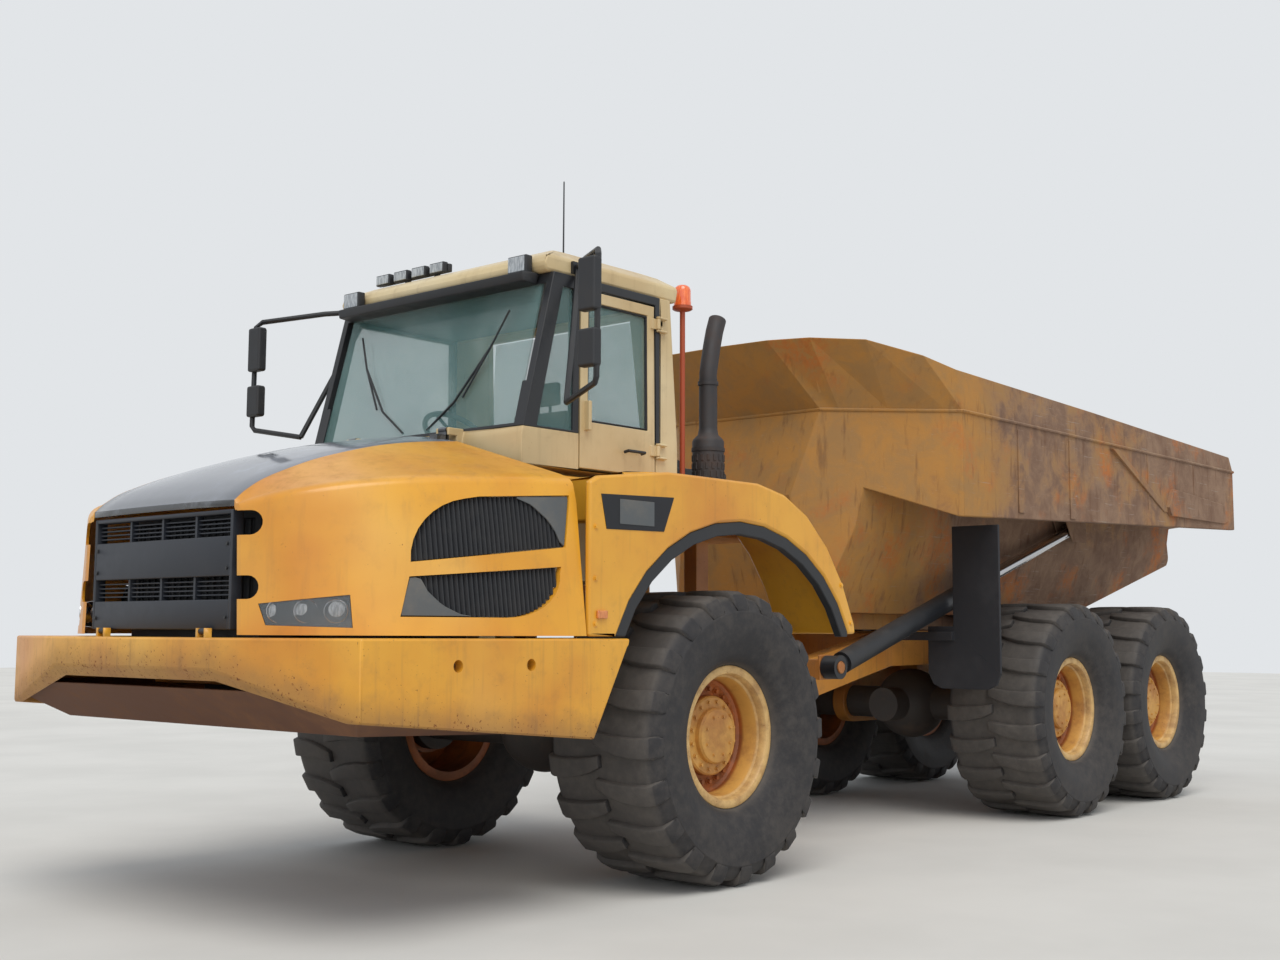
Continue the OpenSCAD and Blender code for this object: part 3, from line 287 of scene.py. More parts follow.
def paint(name, slot, base, deep, pale, dirt=0.35, chips=0.5, foot=None, rough=0.38, coat=0.25):
    # Weathered paint: uneven tone, dust on top faces, streaks down, chips to rust, dirt along the foot
    finish = Finish(name, slot, Coat_Roughness=0.18, Specular_IOR_Level=0.5)
    broad = finish.grain(1.3, 3)
    fine = finish.grain(9, 6, 0.65)
    colour = finish.mix(broad.rise(0.35, 0.7), base, deep)
    colour = finish.mix(finish.grain(0.8, 2).rise(0.5, 0.75) * 0.6, colour, pale)
    streak = finish.grain(7, 4, stretch=(4, 4, 0.22)).rise(0.52, 0.78)
    grime = (streak * 0.5 + fine.rise(0.48, 0.8) * 0.6) * dirt
    grime = grime + finish.facing(2).rise(0.5, 1) * fine.rise(0.3, 0.8) * dirt * 0.8
    low = 0.0
    if foot:
        low = (lowerEdge(finish, foot["line"]) + (fine - 0.5) * foot["ragged"]).rise(foot["reach"], 0)
        grime = grime + low * 0.55
    colour = finish.mix(grime.clamped(), colour, ink["mud"])
    spots = finish.grain(64, 5, 0.7)
    edge = 0.72 - 0.06 * chips
    worn = (spots + finish.grain(5, 3) * 0.16 - 0.08 + (low * 0.07 if foot else 0.0)).rise(edge, edge + 0.03)
    colour = finish.mix(worn, colour, finish.mix(fine, ink["rust"], ink["rustDark"]))
    finish.into("Base Color", colour)
    finish.into("Roughness", (grime * 0.4 + worn * 0.4 + fine * 0.12 + rough - 0.05).clamped())
    finish.into("Coat Weight", ((1 - grime * 1.4 - worn) * coat).clamped())
    finish.bump(finish.grain(160, 2) * 0.3 + fine * 0.3 - worn * 0.8, 0.35, 0.0012)
    return finish


def rimFinish():
    # Pale flange ring, gold hub and a darker orange-brown dish that is painted shade, told apart by the
    # distance from the truck's middle
    finish = Finish("rimPaint", "yellow_paint", Specular_IOR_Level=0.5)
    out = finish.y.size()
    fine = finish.grain(11, 6, 0.65)
    patch = finish.grain(4, 5, 0.65)
    # The dish, its deep wall and the rim's inboard side are painted darker as shade of the deep dish
    shadedDish = finish.mix(patch.rise(0.35, 0.65), screenColour((176, 98, 44)), screenColour((134, 76, 40)))
    hub = finish.mix(patch.rise(0.4, 0.7), screenColour((208, 156, 78)), screenColour((178, 120, 58)))
    ring = finish.mix(fine.rise(0.35, 0.7), screenColour((212, 174, 112)), screenColour((180, 140, 88)))
    colour = finish.mix(out.rise(wheelY + 0.115, wheelY + 0.140), shadedDish, hub)
    colour = finish.mix(out.rise(wheelY + 0.205, wheelY + 0.222), colour, ring)
    grime = (patch * 0.5 + fine * 0.5).rise(0.46, 0.72)
    colour = finish.mix(grime * 0.4, colour, ink["mud"])
    worn = (finish.grain(46, 5, 0.7) + patch * 0.12).rise(0.72, 0.76)
    finish.into("Base Color", finish.mix(worn, colour, ink["rust"]))
    finish.into("Roughness", (grime * 0.3 + worn * 0.3 + 0.46).clamped())
    finish.bump(fine - worn * 0.6, 0.35, 0.0012)
    return finish


def wornBed(name, slot):
    # The bed: orange paint at its front, brown rust and rubbed steel towards the tail, long scratches
    finish = Finish(name, slot, Specular_IOR_Level=0.4)
    broad = finish.grain(1.1, 5, 0.6, warp=0.3)
    patch = finish.grain(4.5, 8, 0.7, warp=0.4)
    fine = finish.grain(22, 6, 0.7)
    rearward = finish.x.rise(0.25, -1.6)
    upright = finish.facing(2).size().rise(0.7, 0.3)
    paintLeft = (broad * 0.6 + patch * 0.4 + 0.16 - rearward * 0.25).rise(0.42, 0.6)
    gold = finish.mix(patch.rise(0.35, 0.65), screenColour((176, 124, 58)), screenColour((158, 118, 68)))
    brown = finish.mix(patch.rise(0.3, 0.7), screenColour((118, 90, 72)), screenColour((146, 118, 96)))
    colour = finish.mix(paintLeft, brown, gold)
    orange = finish.grain(2.2, 4).rise(0.52, 0.7) * fine.rise(0.35, 0.6)
    colour = finish.mix(orange * 0.75, colour, screenColour((184, 104, 42)))
    scratch = finish.grain(3, 5, 0.7, stretch=(0.9, 9, 26), turn=(0, 0.05, 0)).rise(0.6, 0.72) * upright
    dent = finish.grain(6, 4, stretch=(3.2, 3.2, 0.5)).rise(0.55, 0.75) * upright
    colour = finish.mix(scratch * (rearward * 0.5 + 0.15), colour, screenColour((172, 160, 148)))
    colour = finish.mix(dent * 0.5, colour, screenColour((98, 62, 38)))
    dust = finish.facing(2).rise(0.3, 0.95)
    colour = finish.mix(dust * 0.5, colour, ink["dust"])
    finish.into("Base Color", colour)
    finish.into("Metallic", (scratch * 0.35).clamped())
    finish.into("Roughness", (0.82 - scratch * 0.25 - paintLeft * 0.18 + fine * 0.1).clamped())
    finish.bump(patch * 0.7 + fine * 0.35 + broad - scratch * 0.2, 0.5, 0.006)
    return finish


def satin(name, slot, base, dustAndSheenTone, rough=0.45, dust=0.4, metallic=0.0, coat=0.0, texture=180):
    finish = Finish(name, slot, Metallic=metallic, Coat_Weight=coat, Coat_Roughness=0.1)
    fine = finish.grain(14, 6, 0.65)
    broad = finish.grain(2.2, 4)
    # Upward faces take the second tone: dust on most finishes, and on the black strip a painted sky
    # reflection
    upFacingDustAndSheen = finish.facing(2).rise(0.2, 1)
    cover = ((broad * 0.6 + fine * 0.5).rise(0.5, 0.8) * 0.6 + upFacingDustAndSheen * 0.5) * dust
    finish.into("Base Color", finish.mix(cover.clamped(), base, dustAndSheenTone))
    finish.into("Roughness", (cover * 0.5 + fine * 0.14 + rough - 0.07).clamped())
    finish.bump(finish.grain(texture, 3) + fine * 0.6, 0.25, 0.001)
    return finish


bumperFoot = {"line": [(3.5345, 0.83, 0.092), (4.9495, 0.96, 1.05)], "reach": 0.16, "ragged": 0.22}
goldPaint = paint("goldPaint", "yellow_paint", ink["gold"], ink["goldDeep"], ink["goldPale"], dirt=0.28,
                  chips=0.5)
bumperPaint = paint("bumperPaint", "yellow_paint", ink["gold"], ink["goldDeep"], ink["goldPale"], dirt=0.42,
                    chips=0.85, foot=bumperFoot)
framePaint = paint("framePaint", "yellow_paint", screenColour((196, 132, 52)), screenColour((160, 98, 44)),
                   ink["goldPale"], dirt=0.7, chips=1.1, rough=0.5, coat=0.08)
rimPaint = rimFinish()
creamPaint = paint("creamPaint", "cream_paint", ink["cream"], screenColour((196, 170, 124)), ink["creamPale"],
                   dirt=0.3, chips=0.3, rough=0.42, coat=0.15)
bedSteel = wornBed("bedSteel", "worn_steel")
# The black strip's pale blue-grey second tone is a painted sky reflection on its upward faces; its blotches
# stand for dust
blackStrip = satin("blackStrip", "black_paint", ink["blackGloss"], screenColour((150, 156, 168)), rough=0.24,
                   dust=0.95, coat=0.9, texture=260)
blackPaint = satin("blackPaint", "black_paint", ink["black"], ink["blackDusty"], rough=0.4, dust=0.5)
darkPlastic = satin("darkPlastic", "black_plastic", screenColour((34, 36, 40)), ink["blackDusty"], rough=0.55,
                    dust=0.5)
greyPlastic = satin("greyPlastic", "grey_paint", screenColour((84, 88, 90)), ink["dust"], rough=0.55,
                    dust=0.3)
castIron = satin("castIron", "grey_paint", screenColour((66, 60, 56)), screenColour((120, 100, 80)),
                 rough=0.6,
                 dust=0.8, texture=90)
# Near-black: the headlight tray's own colour, and painted shade on the sheets behind the vents and in the
# side recess
ventDark = satin("ventDark", "black_plastic", screenColour((20, 22, 28)), screenColour((60, 56, 52)),
                 rough=0.6, dust=0.5)
grilleBlack = satin("grilleBlack", "black_paint", screenColour((40, 44, 52)), screenColour((84, 84, 86)),
                    rough=0.5,
                    dust=0.35, texture=420)
postPaint = satin("postPaint", "amber_plastic", screenColour((168, 74, 40)), screenColour((120, 84, 66)),
                  rough=0.5, dust=0.4)
seatCloth = satin("seatCloth", "seat_fabric", screenColour((44, 46, 52)), screenColour((80, 78, 78)),
                  rough=0.85, dust=0.4,
                  texture=700)
rubberSkin = satin("flapRubber", "black_plastic", screenColour((32, 33, 38)), screenColour((74, 72, 74)),
                   rough=0.7,
                   dust=0.5, texture=60)
chrome = satin("hardChrome", "bright_steel", screenColour((190, 190, 192)), ink["dust"], rough=0.16,
               dust=0.25,
               metallic=1.0)
rustySteel = satin("rustySteel", "worn_steel", screenColour((98, 62, 40)), screenColour((140, 100, 70)),
                   rough=0.8,
                   dust=0.9, texture=60)
exhaustSteel = satin("exhaustSteel", "black_paint", screenColour((46, 44, 46)), screenColour((92, 70, 58)),
                     rough=0.6,
                     dust=0.8, texture=50)


def tyreFinish():
    finish = Finish("tyreRubber", "tyre_rubber", Specular_IOR_Level=0.35)
    fine = finish.grain(18, 7, 0.7)
    broad = finish.grain(3, 4)
    outward = finish.facing(1).size()
    tread = outward.rise(0.75, 0.3)  # 1 on the tread, 0 on the sidewall
    dust = (broad * 0.5 + fine * 0.6).rise(0.42, 0.75)
    colour = finish.mix((dust * 0.35 + tread * 0.42).clamped(), ink["rubber"], ink["rubberDust"])
    finish.into("Base Color", colour)
    finish.into("Roughness", (dust * 0.2 + 0.62).clamped())
    finish.bump(fine + finish.grain(90, 3) * 0.4, 0.4, 0.003)
    return finish


def windowGlass():
    finish = Finish("windowGlass", "window_glass", Transmission_Weight=0.0, Specular_IOR_Level=0.6)
    film = finish.grain(3, 5, 0.6)
    finish.into("Base Color", finish.mix(film.rise(0.45, 0.8), ink["glass"], screenColour((150, 176, 172))))
    finish.into("Alpha", (film.rise(0.4, 0.9) * 0.14 + 0.3).clamped())
    finish.into("Roughness", (film * 0.12 + 0.02).clamped())
    return finish


def lampFinish(name, slot, colour, edge, glow=0.0):
    finish = Finish(name, slot, Roughness=0.12, Coat_Weight=0.8, Coat_Roughness=0.05, Emission_Strength=glow)
    ribs = finish.grain(120, 2, stretch=(1, 1, 0.2))
    finish.into("Base Color", finish.mix(ribs.rise(0.35, 0.65), colour, edge))
    if glow:
        finish.shader.inputs["Emission Color"].default_value = colour
    finish.bump(ribs, 0.3, 0.001)
    return finish


def clearCover():
    finish = Finish("lampCover", "lamp_plastic", Specular_IOR_Level=0.6)
    haze = finish.grain(6, 5, 0.6)
    finish.into("Base Color", finish.mix(haze, screenColour((170, 184, 192)), screenColour((120, 124, 126))))
    finish.into("Alpha", (haze.rise(0.4, 0.9) * 0.2 + 0.16).clamped())
    finish.into("Roughness", (haze * 0.2 + 0.03).clamped())
    return finish


tyreRubber = tyreFinish()
cabGlass = windowGlass()
beaconLens = lampFinish("beaconLens", "amber_plastic", ink["orange"], screenColour((236, 120, 60)), 0.15)
markerLens = lampFinish("markerLens", "amber_plastic", screenColour((196, 104, 40)),
                        screenColour((222, 140, 70)))
tailLens = lampFinish("tailLens", "red_plastic", screenColour((150, 22, 18)), screenColour((186, 50, 40)))
lampCover = clearCover()
lampGlass = lampFinish("lampGlass", "lamp_plastic", screenColour((186, 192, 196)),
                       screenColour((136, 142, 148)))
print("finishes made")

finishOf = {
    goldPaint: ["fender_left", "fender_right", "hood_shell"],
    bumperPaint: ["bumper"],
    framePaint: ["front_frame", "rear_deck", "rear_frame", "bogie_beams"],
    rustySteel: ["belly_pan"],
    castIron: ["front_axle", "mid_axle", "rear_axle", "engine", "hitch"],
    darkPlastic: ["radiator", "fender_trim", "dash", "roof_lights", "grille"],
    blackPaint: ["window_frames", "mirrors", "hydraulic_tank", "hoist_barrels", "steer_barrel_left",
                 "steer_barrel_right"],
    blackStrip: ["hood_top"],
    exhaustSteel: ["exhaust_stack"],
    creamPaint: ["cab_frame", "roof", "door_left"],
    rubberSkin: ["mud_flaps", "seat"],
    greyPlastic: ["side_vents"],
    lampGlass: ["headlights"],
    beaconLens: ["beacon"],
    tailLens: ["tail_lights"],
    cabGlass: ["cab_glass", "door_glass"],
    bedSteel: ["bed_shell", "bed_guard", "bed_ribs"],
    chrome: ["hoist_rods", "steer_rod_left", "steer_rod_right"],
    rimPaint: [name for name in nodes if name.startswith("rim_")],
    tyreRubber: [name for name in nodes if name.startswith("tyre_")],
}
finishByNode = {name: finish for finish, names in finishOf.items() for name in names}
for name, finish in finishByNode.items():
    nodes[name].data.materials.clear()
    nodes[name].data.materials.append(finish.material)


# Pieces

def addPiece(name, mesh, finish, body, replaces=()):
    piece = bpy.data.objects.new(name, mesh)
    bpy.context.scene.collection.objects.link(piece)
    if finish and not mesh.materials:
        mesh.materials.append(finish.material)
    if body:
        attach(piece, body)
    if replaces:
        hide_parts(*replaces)
    return piece


def shadeByAngle(mesh, angle=35):
    mesh.polygons.foreach_set("use_smooth", [True] * len(mesh.polygons))
    mesh.set_sharp_from_angle(angle=math.radians(angle))


def settled(piece):
    # The piece's modifiers become its mesh
    graph = bpy.context.evaluated_depsgraph_get()
    mesh = bpy.data.meshes.new_from_object(piece.evaluated_get(graph))
    old = piece.data
    piece.modifiers.clear()
    piece.data = mesh
    bpy.data.meshes.remove(old)
    return mesh


def roundEdges(piece, width, segments=2, angle=32):
    bevel = piece.modifiers.new("edges", "BEVEL")
    bevel.width = width
    bevel.segments = segments
    bevel.limit_method = "ANGLE"
    bevel.angle_limit = math.radians(angle)
    bevel.use_clamp_overlap = False
    even = piece.modifiers.new("even", "WEIGHTED_NORMAL")
    even.keep_sharp = True


def weighLongEdges(mesh, angle, shortest):
    # Bevel weight on the long sharp edges only, so that the rims of small holes stay as they are
    shape = bmesh.new()
    shape.from_mesh(mesh)
    weight = shape.edges.layers.float.new("bevel_weight_edge")
    for edge in shape.edges:
        sharp = len(edge.link_faces) == 2 and edge.calc_face_angle(0) > math.radians(angle)
        edge[weight] = float(sharp and edge.calc_length() >= shortest)
    shape.to_mesh(mesh)
    shape.free()


def roundedNode(name, width, segments=2, angle=32, shortest=0.0):
    # A copy of a CAD node with its flat faces joined up and its edges rounded
    shape = bmesh.new()
    shape.from_mesh(nodes[name].data)
    bmesh.ops.remove_doubles(shape, verts=shape.verts, dist=0.00002)
    bmesh.ops.join_triangles(shape, faces=shape.faces, angle_face_threshold=0.01, angle_shape_threshold=3.1)
    mesh = bpy.data.meshes.new(name + "_rounded")
    shape.to_mesh(mesh)
    shape.free()
    shadeByAngle(mesh, 32)
    finish = finishByNode[name]
    piece = addPiece(name + "_rounded", mesh, finish, None)
    roundEdges(piece, width, segments, angle)
    if shortest:
        weighLongEdges(mesh, angle, shortest)
        piece.modifiers["edges"].limit_method = "WEIGHT"
    settled(piece)
    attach(piece, nodes[name]["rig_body"])
    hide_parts(name)
    return piece


class Form:
    # Closed solids gathered into one mesh
    def __init__(self):
        self.solid = bmesh.new()

    def loft(self, rings, loop=False):
        rows = [[self.solid.verts.new(point) for point in ring] for ring in rings]
        pairs = list(zip(rows, rows[1:])) + ([(rows[-1], rows[0])] if loop else [])
        for low, high in pairs:
            for j in range(len(low)):
                k = (j + 1) % len(low)
                self.solid.faces.new((low[j], low[k], high[k], high[j]))
        if not loop:
            self.solid.faces.new(rows[0][::-1])
            self.solid.faces.new(rows[-1])
        return self

    def prism(self, outline, axis, low, high):
        # An outline in the other two axes, made solid from low to high along this one
        def placed(point, value):
            return tuple(point[:axis]) + (value,) + tuple(point[axis:])
        return self.loft([[placed(point, value) for point in outline] for value in (low, high)])

    def block(self, low, high):
        outline = [(low[0], low[1]), (high[0], low[1]), (high[0], high[1]), (low[0], high[1])]
        return self.prism(outline, 2, low[2], high[2])

    def turned(self, outline, centre, axis, steps=48):
        # An outline of radius and distance along the axis, turned about it
        along = Vector(axis).normalized()
        side = along.orthogonal().normalized()
        other = along.cross(side)
        rings = []
        for i in range(steps):
            t = 2 * math.pi * i / steps
            out = side * math.cos(t) + other * math.sin(t)
            rings.append([Vector(centre) + out * r + along * d for r, d in outline])
        return self.loft(rings, loop=True)

    def tube(self, path, radius, sides=12, loop=False):
        points = [Vector(point) for point in path]
        count = len(points)
        rings = []
        side = None
        for i, point in enumerate(points):
            before = points[i - 1] if loop or i else points[i]
            after = points[(i + 1) % count] if loop or i + 1 < count else points[i]
            along = (after - before).normalized()
            side = along.orthogonal() if side is None else side - along * side.dot(along)
            side.normalize()
            other = along.cross(side)
            turns = [2 * math.pi * j / sides for j in range(sides)]
            rings.append([point + (side * math.cos(t) + other * math.sin(t)) * radius for t in turns])
        return self.loft(rings, loop)

    def mirrored(self):
        # The same solids again on the other side of the truck
        made = bmesh.ops.duplicate(self.solid,
                                   geom=self.solid.verts[:] + self.solid.edges[:] + self.solid.faces[:])
        for vert in (item for item in made["geom"] if isinstance(item, bmesh.types.BMVert)):
            vert.co.y = -vert.co.y
        return self

    def mesh(self, name):
        bmesh.ops.remove_doubles(self.solid, verts=self.solid.verts, dist=0.000001)
        bmesh.ops.recalc_face_normals(self.solid, faces=self.solid.faces)
        mesh = bpy.data.meshes.new(name)
        self.solid.to_mesh(mesh)
        self.solid.free()
        return mesh


def trial(mesh, name="trial"):
    piece = bpy.data.objects.new(name, mesh)
    bpy.context.scene.collection.objects.link(piece)
    return piece


def taken(piece):
    # The evaluated mesh of a trial object, which is then removed
    graph = bpy.context.evaluated_depsgraph_get()
    mesh = bpy.data.meshes.new_from_object(piece.evaluated_get(graph))
    bpy.data.objects.remove(piece)
    return mesh


def rounded(mesh, width, segments=2, angle=32, smooth=35):
    shadeByAngle(mesh, smooth)
    piece = trial(mesh)
    roundEdges(piece, width, segments, angle)
    return taken(piece)


def carved(mesh, cutter, operation="DIFFERENCE"):
    piece = trial(mesh)
    tool = trial(cutter, "cutter")
    cut = piece.modifiers.new("cut", "BOOLEAN")
    cut.operation = operation
    cut.solver = "EXACT"
    cut.object = tool
    result = taken(piece)
    bpy.data.objects.remove(tool)
    result.materials.clear()
    return result


def joined(*meshes):
    shape = bmesh.new()
    for mesh in meshes:
        shape.from_mesh(mesh)
    result = bpy.data.meshes.new("joined")
    shape.to_mesh(result)
    shape.free()
    return result


def moved(mesh, matrix):
    copy = mesh.copy()
    copy.transform(matrix)
    return copy


def makePiece(name, form, finish, body, replaces=(), bevel=0.0, segments=2, angle=32, smooth=35):
    mesh = form.mesh(name) if isinstance(form, Form) else form
    if bevel:
        mesh = rounded(mesh, bevel, segments, angle, smooth)
    else:
        shadeByAngle(mesh, smooth)
    mesh.name = name
    mesh.materials.clear()
    return addPiece(name, mesh, finish, body, replaces)


# Node trees that make what repeats

class CopyTree:
    def __init__(self, name, **inputs):
        self.tree = bpy.data.node_groups.new(name, "GeometryNodeTree")
        kinds = {"Geometry": "NodeSocketGeometry", "Material": "NodeSocketMaterial"}
        kinds.update(inputs)
        for label, kind in kinds.items():
            self.tree.interface.new_socket(label, in_out="INPUT", socket_type=kind)
        self.tree.interface.new_socket("Geometry", in_out="OUTPUT", socket_type="NodeSocketGeometry")
        self.given = self.tree.nodes.new("NodeGroupInput").outputs

    def node(self, kind, settings=None, **links):
        made = self.tree.nodes.new(kind)
        for key, value in (settings or {}).items():
            setattr(made, key, value)
        for label, term in links.items():
            numbered = label[0] == "n" and label[1:].isdigit()
            socket = made.inputs[int(label[1:]) if numbered else label]
            if isinstance(term, bpy.types.NodeSocket):
                self.tree.links.new(term, socket)
            else:
                socket.default_value = term
        return made

    def sums(self, operation, first, second):
        return self.node("ShaderNodeMath", {"operation": operation}, n0=first, n1=second).outputs[0]

    def end(self, geometry):
        real = self.node("GeometryNodeRealizeInstances", Geometry=geometry)
        dressed = self.node("GeometryNodeSetMaterial", Geometry=real.outputs[0],
                            Material=self.given["Material"])
        self.tree.links.new(dressed.outputs[0], self.tree.nodes.new("NodeGroupOutput").inputs[0])
        return self.tree


def growTurnedCopies():
    # Copies of the mesh turned evenly about an axis through the origin
    made = CopyTree("turnedCopies", Count="NodeSocketInt", Axis="NodeSocketVector", Phase="NodeSocketFloat")
    line = made.node("GeometryNodeMeshLine", Count=made.given["Count"], Offset=(0, 0, 0))
    step = made.sums("DIVIDE", 2 * math.pi, made.given["Count"])
    turn = made.sums("MULTIPLY", made.node("GeometryNodeInputIndex").outputs[0], step)
    turn = made.sums("ADD", turn, made.given["Phase"])
    spin = made.node("FunctionNodeAxisAngleToRotation", Axis=made.given["Axis"], Angle=turn)
    copies = made.node("GeometryNodeInstanceOnPoints", Points=line.outputs[0],
                       Instance=made.given["Geometry"],
                       Rotation=spin.outputs[0])
    return made.end(copies.outputs[0])


def growRowOfCopies():
    made = CopyTree("rowOfCopies", Count="NodeSocketInt", Step="NodeSocketVector")
    line = made.node("GeometryNodeMeshLine", Count=made.given["Count"], Offset=made.given["Step"])
    copies = made.node("GeometryNodeInstanceOnPoints", Points=line.outputs[0],
                       Instance=made.given["Geometry"])
    return made.end(copies.outputs[0])


def growBolts():
    # A hexagon head on a washer at each point, along the way stored with the point
    made = CopyTree("boltsOnPoints", Radius="NodeSocketFloat", Height="NodeSocketFloat", Seed="NodeSocketInt")
    radius, height = made.given["Radius"], made.given["Height"]
    washer = made.node("GeometryNodeMeshCylinder", Vertices=14, Radius=made.sums("MULTIPLY", radius, 1.5),
                       Depth=made.sums("MULTIPLY", height, 0.5))
    head = made.node("GeometryNodeMeshCylinder", Vertices=6, Radius=radius, Depth=height)
    lift = made.node("ShaderNodeCombineXYZ", Z=made.sums("MULTIPLY", height, 0.6))
    raised = made.node("GeometryNodeTransform", Geometry=head.outputs["Mesh"], Translation=lift.outputs[0])
    bolt = made.node("GeometryNodeJoinGeometry")
    for part in (washer.outputs["Mesh"], raised.outputs[0]):
        made.tree.links.new(part, bolt.inputs[0])
    way = made.node("GeometryNodeInputNamedAttribute", {"data_type": "FLOAT_VECTOR"}, Name="facing")
    aimed = made.node("FunctionNodeAlignRotationToVector", {"axis": "Z"}, Vector=way.outputs[0])
    turn = made.node("FunctionNodeRandomValue", {"data_type": "FLOAT"}, Seed=made.given["Seed"])
    spin = made.node("FunctionNodeAxisAngleToRotation", Axis=(0, 0, 1), Angle=turn.outputs[1])
    both = made.node("FunctionNodeRotateRotation", {"rotation_space": "LOCAL"}, n0=aimed.outputs[0],
                     n1=spin.outputs[0])
    copies = made.node("GeometryNodeInstanceOnPoints", Points=made.given["Geometry"],
                       Instance=bolt.outputs[0],
                       Rotation=both.outputs[0])
    return made.end(copies.outputs[0])


turnedCopies = growTurnedCopies()
rowOfCopies = growRowOfCopies()
boltsOnPoints = growBolts()


def grown(mesh, tree, finish, **settings):
    piece = trial(mesh)
    step = piece.modifiers.new("tree", "NODES")
    step.node_group = tree
    settings["Material"] = finish.material
    for item in tree.interface.items_tree:
        if item.in_out == "INPUT" and item.name in settings:
            step[item.identifier] = settings[item.name]
    return taken(piece)


def boltMesh(spots, radius, height, finish, seed=3):
    # spots: place and the way the bolt's head faces
    guide = bpy.data.meshes.new("boltGuide")
    guide.from_pydata([place for place, way in spots], [], [])
    facing = guide.attributes.new("facing", "FLOAT_VECTOR", "POINT")
    for i, (place, way) in enumerate(spots):
        facing.data[i].vector = way
    return grown(guide, boltsOnPoints, finish, Radius=radius, Height=height, Seed=seed)


def addBolts(name, body, spots, radius, height, finish):
    return makePiece(name, boltMesh(spots, radius, height, finish), finish, body, smooth=30)


def both(spots):
    # The same places on the left and on the right
    return spots + [((x, -y, z), (a, -b, c)) for (x, y, z), (a, b, c) in spots]


print("helpers and node trees ready")

# Wheels

tyre = {
    "steps": 96, "lugs": 20, "reach": 0.785, "edge": 0.007,
    # radius, distance from the middle
    "half": [(0.345, 0.2475), (0.381, 0.2475), (0.3815, 0.262), (0.392, 0.285), (0.404, 0.300),
             (0.425, 0.318),
             (0.445, 0.330), (0.458, 0.334), (0.50, 0.354), (0.55, 0.368), (0.60, 0.374), (0.64, 0.374),
             (0.664, 0.3745), (0.672, 0.3745), (0.676, 0.368), (0.70, 0.360), (0.722, 0.347), (0.742, 0.325),
             (0.750, 0.300), (0.753, 0.27)],
    # distance from the middle, shift along the tread, half width, top radius, foot radius
    "lug": [(-0.020, -0.020, 0.036, 0.781, 0.745), (0.05, 0.000, 0.046, 0.7845, 0.745),
            (0.14, 0.018, 0.054, 0.785, 0.745), (0.24, 0.026, 0.060, 0.784, 0.740),
            (0.315, 0.024, 0.063, 0.778, 0.730),
            (0.350, 0.020, 0.064, 0.760, 0.715), (0.368, 0.016, 0.062, 0.726, 0.690),
            (0.3745, 0.012, 0.058, 0.690, 0.670)],
    "bites": [0.0, 4.0, 9.0, 13.0, 6.0, 15.0],
}


def lugMesh(side):
    rings = []
    for y, shift, halfWide, top, foot in tyre["lug"]:
        ring = []
        for wide, radius in ((-1, foot), (-0.84, top), (0.84, top), (1, foot)):
            turn = (shift + wide * halfWide) / tyre["reach"]
            ring.append((radius * math.sin(turn), side * y, radius * math.cos(turn)))
        rings.append(ring)
    return rounded(Form().loft(rings).mesh("lug"), tyre["edge"], 2, 30)


def tyreMesh():
    half = tyre["half"]
    carcass = Form().turned(half + [(r, -y) for r, y in reversed(half)], (0, 0, 0), (0, 1, 0), tyre["steps"])
    pitch = 2 * math.pi / tyre["lugs"]
    lugs = [grown(lugMesh(side), turnedCopies, tyreRubber, Count=tyre["lugs"], Axis=(0.0, 1.0, 0.0),
                  Phase=0.5 * pitch * (side < 0)) for side in (1, -1)]
    return joined(carcass.mesh("carcass"), *lugs)


rim = {
    # radius, distance from the middle, from the hub's cap out over the dish and back inside
    "outline": [(0, 0.195), (0.128, 0.195), (0.142, 0.190), (0.150, 0.178), (0.151, 0.154), (0.204, 0.151),
                (0.213, 0.143), (0.216, 0.10), (0.24, 0.092), (0.288, 0.092), (0.303, 0.104), (0.309, 0.19),
                (0.318, 0.214), (0.328, 0.222), (0.331, 0.256), (0.338, 0.266), (0.350, 0.270),
                (0.370, 0.270),
                (0.379, 0.266), (0.381, 0.258), (0.381, 0.249), (0.345, 0.248), (0.345, -0.248),
                (0.381, -0.249),
                (0.381, -0.266), (0.37, -0.27), (0.325, -0.27), (0.325, 0.06), (0.215, 0.06), (0.215, -0.06),
                (0.101, -0.06), (0.101, 0.1015), (0, 0.1015)],
    # bolt circle radius, place along the axis, count, head radius, height
    "bolts": [(0.252, 0.092, 24, 0.0125, 0.020), (0.182, 0.1515, 16, 0.009, 0.012),
              (0.108, 0.195, 8, 0.007, 0.007)],
}


def rimMesh():
    parts = [Form().turned(rim["outline"], (0, 0, 0), (0, 1, 0), 72).mesh("rim")]
    for radius, along, count, head, high in rim["bolts"]:
        turns = [2 * math.pi * (i + 0.5) / count for i in range(count)]
        spots = [((radius * math.cos(t), along, radius * math.sin(t)), (0, 1, 0)) for t in turns]
        parts.append(boltMesh(spots, head, high, rimPaint))
    return joined(*parts)


tyreShape, rimShape = tyreMesh(), rimMesh()
wheelPlaces = {"front": frontAxle, "mid": midAxle, "rear": rearAxle}
for i, (place, side) in enumerate((place, side) for place in wheelPlaces for side in ("left", "right")):
    facing = 0 if side == "left" else math.pi
    spin = Matrix.Rotation(facing, 4, "Z") @ Matrix.Rotation(math.radians(tyre["bites"][i]), 4, "Y")
    hub = Matrix.Translation((wheelPlaces[place], wheelY if side == "left" else -wheelY, hubZ)) @ spin
    body = f"wheel_{place}_{side}"
    makePiece(f"tyre_{place}_{side}_treaded", moved(tyreShape, hub), tyreRubber, body,
              [f"tyre_{place}_{side}"], smooth=38)
    makePiece(f"rim_{place}_{side}_bolted", moved(rimShape, hub), rimPaint, body, [f"rim_{place}_{side}"],
              smooth=30)
print("wheels made")

# Hood

